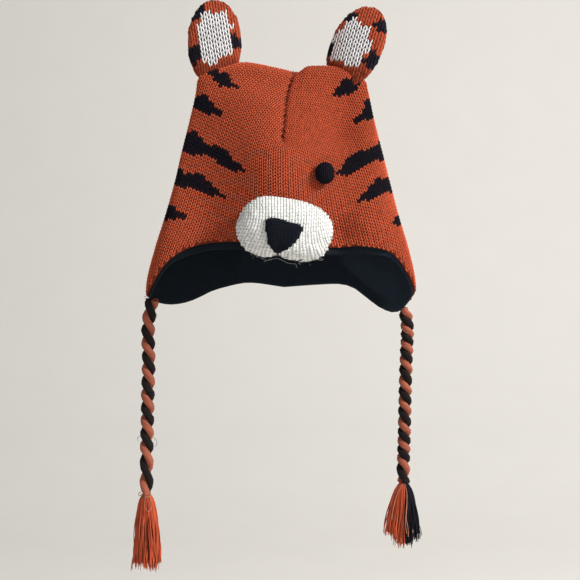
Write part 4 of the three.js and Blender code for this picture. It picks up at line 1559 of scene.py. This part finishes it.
def dome_mesh(rings, top):
    """Points and triangles of rings that close over a top, facing the front."""
    count, size = rings.shape[:2]
    index = np.arange(count * size).reshape(count, size)
    following = np.roll(index, -1, axis=1)
    sides = two_triangles(index[:-1], following[:-1], following[1:], index[1:])
    cap = np.stack([index[-1], following[-1], np.full(size, count * size)], axis=-1)
    points, faces = np.vstack([rings.reshape(-1, 3), top]), np.vstack([sides, cap])
    normals, _, _ = face_frames(points, faces)
    if normals[-1, 1] > 0:
        faces = faces[:, ::-1]
    return points, faces


muzzle_core = shaped_sphere("muzzle_padding", 56, 30, muzzle_core_place)
sink_into_body(muzzle_core)
# The padding shows between the stitches and is darker than the cream yarn: painted shade.
dress(muzzle_core, backing_finish.material, np.array(CREAM) * 0.6)

dome_angles = np.linspace(0, 360, 73)[:-1]
dome_points, dome_faces = dome_mesh(
    muzzle_form(dome_angles[None, :], dome_levels()[:-1, None]),
    muzzle_form(0.0, MUZZLE["depth"]),
)
normals, _, _ = face_frames(dome_points, dome_faces)
middles = dome_points[dome_faces].mean(axis=1)
runs = blended(MUZZLE_KNIT, seen_from_front(middles))
lean, rise = np.radians(runs[:, LEAN]), np.radians(runs[:, FALL])
wale_way = tangent_seen(np.sin(lean), np.cos(lean), normals)
course_way = tangent_seen(np.cos(rise), np.sin(rise), normals)
to_wale = in_plane_normal(wale_way, normals, SIDEWAYS) / runs[:, WIDTH : WIDTH + 1]
to_course = in_plane_normal(course_way, normals, UPRIGHT) / MUZZLE_COURSE
dome_wales = numbered(dome_points, dome_faces, to_wale)
dome_courses = numbered(dome_points, dome_faces, to_course)
muzzle_stitches = stitch_places(dome_points, dome_faces, dome_wales, dome_courses)
muzzle_stitches = some(muzzle_stitches, out_of_body(muzzle_stitches["at"]) > JUST_CLEAR)
muzzle_knit = knit(
    "muzzle_knit", muzzle_stitches, CREAM, KNIT_YARN, plump=0.34, relief=0.6, rise=0.2,
    seed=31, spread=0.05, reach=0.74, deep_shade=0.5, sink=0.26, tip_power=9,
    bend=fall_away(muzzle_stitches),
)  # fmt: skip

# %% [markdown]
# ## The nose
#
# The nose is a small knitted triangle with round corners, sewn on over a little filling,
# so it stands up like a pillow. A grid of rings inside the outline is laid on the muzzle.

# %% Nose
NOSE_OUTLINE = [
    (-16.5, -148.5), (-12, -146.5), (-6, -147), (3, -150), (13, -152.8), (17.5, -155),
    (18.7, -157.5), (15, -165.5), (11, -170.5), (3, -176.8), (-3, -179.8), (-6, -180.6),
    (-9.8, -178.3), (-14.8, -171.5), (-16, -163), (-17, -157),
]  # fmt: skip

closed = np.array([*NOSE_OUTLINE, NOSE_OUTLINE[0]])
along = distances_along(closed)
nose_outline = read_line(np.linspace(0, along[-1], 150, endpoint=False), along, closed)
nose_middle = nose_outline.mean(axis=0)
# The cast-off stitches make small scallops along the upper edge.
SCALLOP, SCALLOP_STEP = 0.55, 3.3
scallop = SCALLOP * np.abs(np.sin(np.pi * nose_outline[:, 0] / SCALLOP_STEP)) * ease(
    (nose_outline[:, 1] + 160 + 0.2 * nose_outline[:, 0]) / 3
)
nose_outline[:, 1] += scallop

# The padding is a little smaller than the nose, and its underside lies on the muzzle.
NOSE_SHARE, NOSE_RINGS = 0.95, 9
NOSE_EDGE, NOSE_UNDER, NOSE_RISE = 0.5, 0.3, 2.2


def nose_ring(share, lift):
    """A ring of points over the nose, at a lift from the muzzle."""
    flat = nose_middle + (nose_outline - nose_middle) * NOSE_SHARE * share
    y = muzzle_depth(flat[:, 0], flat[:, 1]) - lift
    return np.stack([flat[:, 0], y, flat[:, 1]], axis=1)


nose_top = np.array(
    [
        nose_ring(share, NOSE_EDGE + NOSE_RISE * (1 - share**5) ** 0.5)
        for share in np.linspace(1, 0.04, NOSE_RINGS)
    ]
)
rings = np.concatenate([[nose_ring(1, NOSE_UNDER)], nose_top])
count, size = rings.shape[:2]
index = np.arange(count * size).reshape(count, size)
following = np.roll(index, -1, axis=1)
quads = np.stack([index[:-1], following[:-1], following[1:], index[1:]], axis=-1).reshape(-1, 4)
# After the rings' own points come the middle of the top and of the underside.
tip = count * size
centre_top = rings[-1].mean(axis=0)
centre_under = rings[0].mean(axis=0)
nose_faces = quads.tolist()
nose_faces += [[index[-1, k], following[-1, k], tip] for k in range(size)]
nose_faces += [[following[0, k], index[0, k], tip + 1] for k in range(size)]
nose_pad = make_mesh(
    "nose_padding",
    np.vstack([rings.reshape(-1, 3), centre_top, centre_under]),
    nose_faces,
    backing_finish.material,
    np.array(NAVY) * 0.9,
)
turn_faces(nose_pad)

nose_points, nose_tris = dome_mesh(nose_top, centre_top)
up, on = (np.tile(way, (len(nose_tris), 1)) for way in (UPRIGHT, SIDEWAYS))
nose_stitches = stitches_over(
    nose_points, nose_tris, up, on, lean=4.0, rise=-8.0, size=(3.4, 2.4)
)
nose_knit = knit(
    "nose_knit", nose_stitches, NAVY, BLACK_YARN, plump=0.2, relief=0.5, rise=0.25, seed=41
)

# %% [markdown]
# ## The mouth stitch and stray fibres
#
# Below the nose one black yarn runs to the muzzle's lower seam and along it both ways.
# Pale ends of the sewing yarn hang under it, and the brushed yarn has a thin fuzz, which
# is made of short, very thin strands with a seeded scatter.

# %% Mouth
MOUTH = [
    [(-5.4, -178.6), (-5.2, -180.6), (-5.2, -182.9)],
    [(-5.2, -182.7), (-8, -183.4), (-13.6, -183.8), (-18, -183.4), (-22.9, -182.2),
     (-28, -180.4), (-32.2, -178.4)],
    [(-5.2, -182.7), (-2, -183.6), (2, -185), (6, -186), (10, -186.5), (13.1, -186.5),
     (17.7, -185.2)],
]  # fmt: skip
SEWING_ENDS = [
    [(-30.9, -179.4), (-27, -180.8), (-24, -182), (-20, -184), (-17, -185.2), (-14, -185.3),
     (-11.3, -184.8)],
    [(-18.6, -186.6), (-16.4, -186), (-14.6, -185), (-10.6, -184.2), (-5.5, -183.4)],
    [(-6, -183.7), (-2.6, -184.8), (0.3, -186.3), (3.4, -187.8), (6.1, -188.5), (11.9, -189)],
    [(11.2, -188.7), (12.2, -190), (11.6, -191), (12.9, -192.2)],
    [(14, -188.6), (17.7, -187.2), (23.4, -186.6), (29.3, -185.1), (33, -184.2), (36.2, -183.2)],
    [(31, -184.4), (34.5, -185.4), (37.4, -184.6)],
]  # fmt: skip


def on_muzzle(route, lift):
    """A line over the muzzle, from its x and z, at a lift from the surface."""
    flat = route_through([(x, 0, z) for x, z in route], YARN_STEP)
    flat[:, 1] = muzzle_depth(flat[:, 0], flat[:, 2]) - lift
    return flat


mouth = strands(
    "mouth_stitch",
    [on_muzzle(route, 0.8) for route in MOUTH],
    [0.7, 0.55, 0.55],
    [NAVY] * 3,
    BLACK_YARN,
)
sewing_ends = strands(
    "sewing_yarn_ends",
    [on_muzzle(route, 1.2) for route in SEWING_ENDS],
    [0.17] * len(SEWING_ENDS),
    [np.array(CREAM) * 0.55] * len(SEWING_ENDS),
    KNIT_YARN,
    sides=4,
)


# %% Fuzz
def fuzz(name, roots, outwards, colours, length, radius, seed):
    """Short fibres that stand off a surface and curl."""
    chance = np.random.default_rng(seed)
    lines = []
    for root, out in zip(roots, outwards):
        lean_way = chance.normal(0, 0.4, 3)
        curl = chance.normal(0, 0.7, 3)
        t = np.linspace(0, 1, 5)[:, None]
        reach = length * chance.uniform(0.4, 1.0)
        lines.append(root + (out + lean_way) * t * reach + curl * t**2 * reach * 0.6)
    return strands(name, lines, [radius] * len(lines), colours, KNIT_YARN, sides=3)


chance = np.random.default_rng(33)
edge_stitches = np.flatnonzero(np.abs(muzzle_stitches["out"][:, 1]) < 0.75)
picked = chance.choice(edge_stitches, 160)
muzzle_fuzz = fuzz(
    "muzzle_fuzz",
    muzzle_stitches["at"][picked],
    muzzle_stitches["out"][picked],
    [np.array(CREAM) * 0.9] * len(picked),
    length=3.4,
    radius=0.07,
    seed=34,
)

# %% [markdown]
# ## The eye
#
# A ball of filling in a scrap of fine black knit. The place of the second eye is bare on
# the real hat, so there is only one.

# %% Eye
EYE = {"x": 39.5, "z": -101.5, "wide": 9.7, "high": 11.0, "deep": 8.5, "sunk": 2.5}
EYE_Y = float(face_depth(np.array(EYE["x"]), np.array(EYE["z"]))) - EYE["deep"] + EYE["sunk"]
EYE_INSET = 0.7
EYE_WALE, EYE_COURSE = 2.6, 1.9


def eye_form(angle, share):
    """Points of the eye, with its poles above and below."""
    angle, share = np.broadcast_arrays(angle, share)
    turn, level = np.radians(angle), share * math.pi
    ring = np.sin(level)
    x = EYE["x"] + (EYE["wide"] - EYE_INSET) * ring * np.sin(turn)
    y = EYE_Y - (EYE["deep"] - EYE_INSET) * ring * np.cos(turn)
    z = EYE["z"] - (EYE["high"] - EYE_INSET) * np.cos(level)
    return np.stack([x, y, z], axis=-1)


eye_ball = shaped_sphere("eye_padding", 32, 20, eye_form)
sink_into_body(eye_ball, within=1.5)
dress(eye_ball, backing_finish.material, np.array(BLACK) * 0.9)
points, faces, up, on = half_grid(
    eye_form, np.linspace(-100, 100, 40), np.linspace(0.04, 0.96, 30)
)
normals, _, _ = face_frames(points, faces)
level_way = unit(np.cross(normals, unit(up)))
eye_wales = numbered(points, faces, in_plane_normal(unit(up), normals, on) / EYE_WALE)
eye_courses = numbered(points, faces, in_plane_normal(level_way, normals, up) / EYE_COURSE)
eye_stitches = stitch_places(points, faces, eye_wales, eye_courses)
eye_stitches = some(eye_stitches, out_of_body(eye_stitches["at"]) > JUST_CLEAR)
eye_knit = knit(
    "eye_knit", eye_stitches, BLACK, BLACK_YARN, plump=0.21, relief=0.4, rise=0.25, seed=51
)

# %% [markdown]
# ## Tassels
#
# Below its binding each bundle is let loose: its yarns spread, wave a little, and end
# unevenly. Every yarn is a strand of its own, from the neck to a place in the outer
# form of the tassel.

# %% Tassels
# strays: where single yarns end, from the neck. threads: the binding and its loops. cut: how
# much of the length is left, from the left side of the tassel to its right.
LEFT_TASSEL = {
    "lean": 0.6, "black_from": 99,
    "rows": [(0, 5.0, 5.0), (6, 8.6, 7.5), (16, 10.8, 8.5), (30, 12.7, 9.5), (50, 14.3, 10),
             (66, 15, 10.5), (76, 15, 10)],
    "cut": [(-1, 0.97), (-0.5, 0.92), (0, 0.98), (0.4, 1.0), (1, 0.93)],
    "strays": [(-15.5, 0, 77), (-15, 2, 75), (-14.6, 1, 76), (-14.2, -2, 73), (15, 0, 69),
               (14.5, -2, 67), (1, -3, 76), (3, 1, 77)],
    "dark_ends": [(5.5, -3, 6), (7, -2, 9), (8.5, -1, 11)],
    "threads": [
        [(-5.6, -1, -0.6), (-3.5, -4.8, -1.8), (0, -5.9, -2.4), (3.4, -4.8, -1.4), (5.2, -1, -0.2)],
        [(-5, -2.5, 1), (-2.6, -5.4, -0.6), (0.4, -5.9, -1), (3.8, -4, -1.8)],
        [(-0.2, -5.8, -1.2), (-0.5, -8.6, -8), (1, -9.6, -13), (3.6, -10, -15.2), (5.8, -9, -12),
         (5.4, -7.6, -7), (4, -5, -2)],
        [(-5.2, -1, 2.6), (-7.6, 0, 1), (-7.9, 0, -0.9), (-6.4, -1, -1.6), (-5, -2, 0)],
    ],
}  # fmt: skip
RIGHT_TASSEL = {
    "lean": -3.2, "black_from": 5,
    "rows": [(0, 4.2, 4.2), (6, 8.6, 7.5), (15, 12.2, 9), (30, 16, 10.5), (45, 18.6, 11.5),
             (58, 19.4, 12), (69, 19.4, 12)],
    "cut": [(-1, 0.76), (-0.6, 0.79), (-0.2, 0.92), (0.2, 0.93), (0.6, 0.91), (1, 0.84)],
    "strays": [(17.5, 0, 56), (17, 3, 58), (-9, -4, 65), (-10.5, -2, 64), (-7.5, -4, 62),
               (18, -3, 54), (16.5, -4, 58), (15, -6, 57)],
    "dark_ends": [],
    "threads": [
        [(0.5, -4.6, -1), (2.4, -8, -12), (1.4, -10.5, -26), (0.4, -11.6, -40), (1.6, -12, -50)],
        [(1.2, -4.4, -2), (2.2, -9, -20), (1.2, -11, -34), (2.8, -12, -44), (3.2, -12.2, -53)],
        [(-2, -4.4, -1.6), (-8, -8, -12), (-12, -9.6, -26), (-13, -10, -36)],
    ],
}  # fmt: skip
PALE_YARN = (0.50, 0.20, 0.13)
# Each yarn starts this turn further round than the last, which fills a round evenly.
GOLDEN_TURN = 2.39996
YARN_POINTS = 16
# The outer yarns keep this far inside the tassel's outline, and wave to either side.
INSIDE_OUTLINE, SWAY = 0.9, 1.15
THREAD_RADIUS = 0.36


def tassel(name, neck, form, yarns, colour_of, seed):
    """Loose yarns below a cord. colour_of tells the colour by the place in it, or None for
    a place that stays empty."""
    chance = np.random.default_rng(seed)
    length = form["rows"][-1][0]
    lines, radii, colours = [], [], []
    for k in range(yarns):
        around = GOLDEN_TURN * k
        reach = math.sqrt((k + 0.5) / yarns)
        ux, uy = reach * math.cos(around), reach * math.sin(around)
        own_length = length * (0.955 + chance.normal(0, 0.04)) * float(curve(form["cut"], ux))
        below = np.linspace(0, own_length, YARN_POINTS)
        wide = curve(form["rows"], below, 1) - INSIDE_OUTLINE
        deep = curve(form["rows"], below, 2) - INSIDE_OUTLINE
        phase = chance.uniform(0, 2 * math.pi, 2)
        sway = SWAY * ease(below / 30) * (0.3 + 0.7 * below / length)
        x = ux * wide + sway * np.sin(below / 9.0 + phase[0])
        y = uy * deep + sway * np.sin(below / 10.5 + phase[1])
        size = np.full(len(below), chance.uniform(0.42, 0.66))
        size[-3:] *= (1.0, 0.8, 0.45)
        tint = chance.uniform(0.62, 1.2)
        colour, share = colour_of(ux, uy, chance)
        if colour is None:
            continue
        place = np.stack([form["lean"] * below / length + x, y, -0.3 - below * share], axis=1)
        lines.append(np.array(neck) + place)
        radii.append(size)
        colours.append(np.array(colour) * tint)
    loose = [(end, ORANGE if end[0] < form["black_from"] else BLACK) for end in form["strays"]]
    for (x_end, y_end, own_length), colour in loose + [(e, BLACK) for e in form["dark_ends"]]:
        below = np.linspace(0, own_length, YARN_POINTS)
        share = ease(below / own_length * 0.9)
        share = share / share[-1]
        wave = np.stack([np.sin(below / 6), np.cos(below / 8), 0 * below], axis=1) * 0.5
        lines.append(np.stack([x_end * share, y_end * share, -below], axis=1) + neck + wave)
        radii.append(np.linspace(0.55, 0.3, YARN_POINTS))
        colours.append(np.array(colour) * 0.9)
    for thread in form["threads"]:
        lines.append(np.array(neck) + route_through(thread, YARN_STEP))
        radii.append(THREAD_RADIUS)
        colours.append(PALE_YARN)
    made = strands(name, lines, radii, colours, CORD_YARN, sides=4)
    print(name, len(lines), "yarns,", triangles_of(made), "triangles")
    return made


def left_colour(ux, uy, chance):
    """Orange and black yarns behind, with darkened orange yarns in a short parting right of the
    middle: painted shade inside the parting.
    """
    # Yarns in the parting are darkened orange: painted shade.
    if 0.13 < ux < 0.27 and uy < 0.4:
        return np.array(ORANGE) * 0.16, 0.8
    return (BLACK if uy > 0.6 and ux > 0.1 else ORANGE), 1.0


def right_colour(ux, uy, chance):
    """Orange on the left, black on the right, where the outer strands hang apart."""
    is_gap = 0.56 < ux < 0.82 and chance.random() < 0.72
    if ux < 0.17 + 0.1 * uy:
        return ORANGE, 1.0
    return (None if is_gap else BLACK), 1.0


left_tassel = tassel("left_tassel_yarn", left_middle[-1], LEFT_TASSEL, 250, left_colour, 61)
right_tassel = tassel("right_tassel_yarn", right_middle[-1], RIGHT_TASSEL, 290, right_colour, 71)

# %% [markdown]
# ## The floor, the backdrop and the light
#
# A plain pale sweep behind and below, a large soft light above and to the right, which
# gives the shadow left of the middle panel, a second one for the sweep, and a weak fill
# from all round.

# %% Sweep
# In metres, unlike the tables of the hat: y and z of the sweep from behind the camera.
FLOOR_HALF_WIDTH = 6
SWEEP = [(-4.0, -0.9), (1.2, -0.9), (2.0, -0.82), (2.5, -0.55), (2.8, 0.0), (2.9, 1.0), (2.9, 4.5)]
bpy.ops.mesh.primitive_grid_add(x_subdivisions=2, y_subdivisions=48, size=2)
floor = bpy.context.active_object
profile = route_through([(0, y, z) for y, z in SWEEP], 0.01)
for corner in floor.data.vertices:
    share = (corner.co.y + 1) / 2 * (len(profile) - 1)
    y, z = (np.interp(share, np.arange(len(profile)), profile[:, k]) for k in (1, 2))
    corner.co = (corner.co.x * FLOOR_HALF_WIDTH, y, z)
bpy.ops.object.shade_smooth()
floor.name = "pale_floor"
paper = Finish("pale_paper", roughness=0.95)
speck = paper.grain(8.0, 2.0)
paper_colour = paper.node("ShaderNodeCombineXYZ", sockets={0: 0.83, 1: 0.81, 2: 0.77})
paper.look(paper_colour, 0.98 + speck * 0.04)
floor.data.materials.append(paper.material)

world = bpy.context.scene.world or bpy.data.worlds.new("soft_room")
bpy.context.scene.world = world
world.use_nodes = True
background = world.node_tree.nodes["Background"]
background.inputs["Color"].default_value = (0.80, 0.80, 0.80, 1)
background.inputs["Strength"].default_value = 0.58


def soft_light(name, place, target, size, power, colour):
    """A square light at a place, turned to a target. Sizes are in metres."""
    bpy.ops.object.light_add(type="AREA", location=place)
    made = bpy.context.active_object
    made.name = name
    made.data.size = size
    made.data.energy = power
    made.data.color = colour
    made.rotation_euler = (Vector(target) - Vector(place)).to_track_quat("-Z", "Y").to_euler()


WARM_WHITE = (1.0, 0.985, 0.965)
soft_light("key", (1.9, -1.15, 1.15), (0, 0, -0.15), size=0.6, power=82, colour=WARM_WHITE)
soft_light("wall_light", (2.2, 0.9, 1.2), (0.3, 2.9, 0.0), size=2.0, power=11, colour=WARM_WHITE)
bpy.context.scene.view_settings.view_transform = "Standard"

# %% [markdown]
# ## Handing the pieces over
#
# Every piece rides on the part's one body, and the measured solids are replaced by what was
# made here.

# %% Riding and replacing
riding = {
    backing: ("knit_body", "orange_knit"),
    lining: ("fleece_lining", "black_fleece"),
    left_ear_core: ("left_ear", "white_knit_ear"),
    right_ear_core: ("right_ear", "white_knit_ear"),
    muzzle_core: ("muzzle", "cream_knit"),
    nose_pad: ("nose", "black_knit"),
    eye_ball: ("eye", "black_knit"),
    left_cord: ("left_cord", "twisted_yarn"),
    right_cord: ("right_cord", "twisted_yarn"),
    left_tassel: ("left_tassel", "tassel_yarn"),
    right_tassel: ("right_tassel", "tassel_yarn"),
}
for piece, (node, finish) in riding.items():
    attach(piece, "root")
    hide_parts(node)
for piece, finish in (
    *((piece, "orange_knit") for piece in body_pieces),
    (stripe_knit, "black_knit"),
    (left_ear_knit, "white_knit_ear"),
    (right_ear_knit, "white_knit_ear"),
    (muzzle_knit, "cream_knit"),
    (nose_knit, "black_knit"),
    (eye_knit, "black_knit"),
    (left_wisps, "twisted_yarn"),
    (mouth, "black_knit"),
    (sewing_ends, "cream_knit"),
    (muzzle_fuzz, "cream_knit"),
):
    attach(piece, "root")
for piece, middle, ends in (
    (left_cord, left_middle, [left_tassel, left_wisps]),
    (right_cord, right_middle, [right_tassel]),
):
    tuple(middle[0] * MM)
    (middle * MM).tolist()
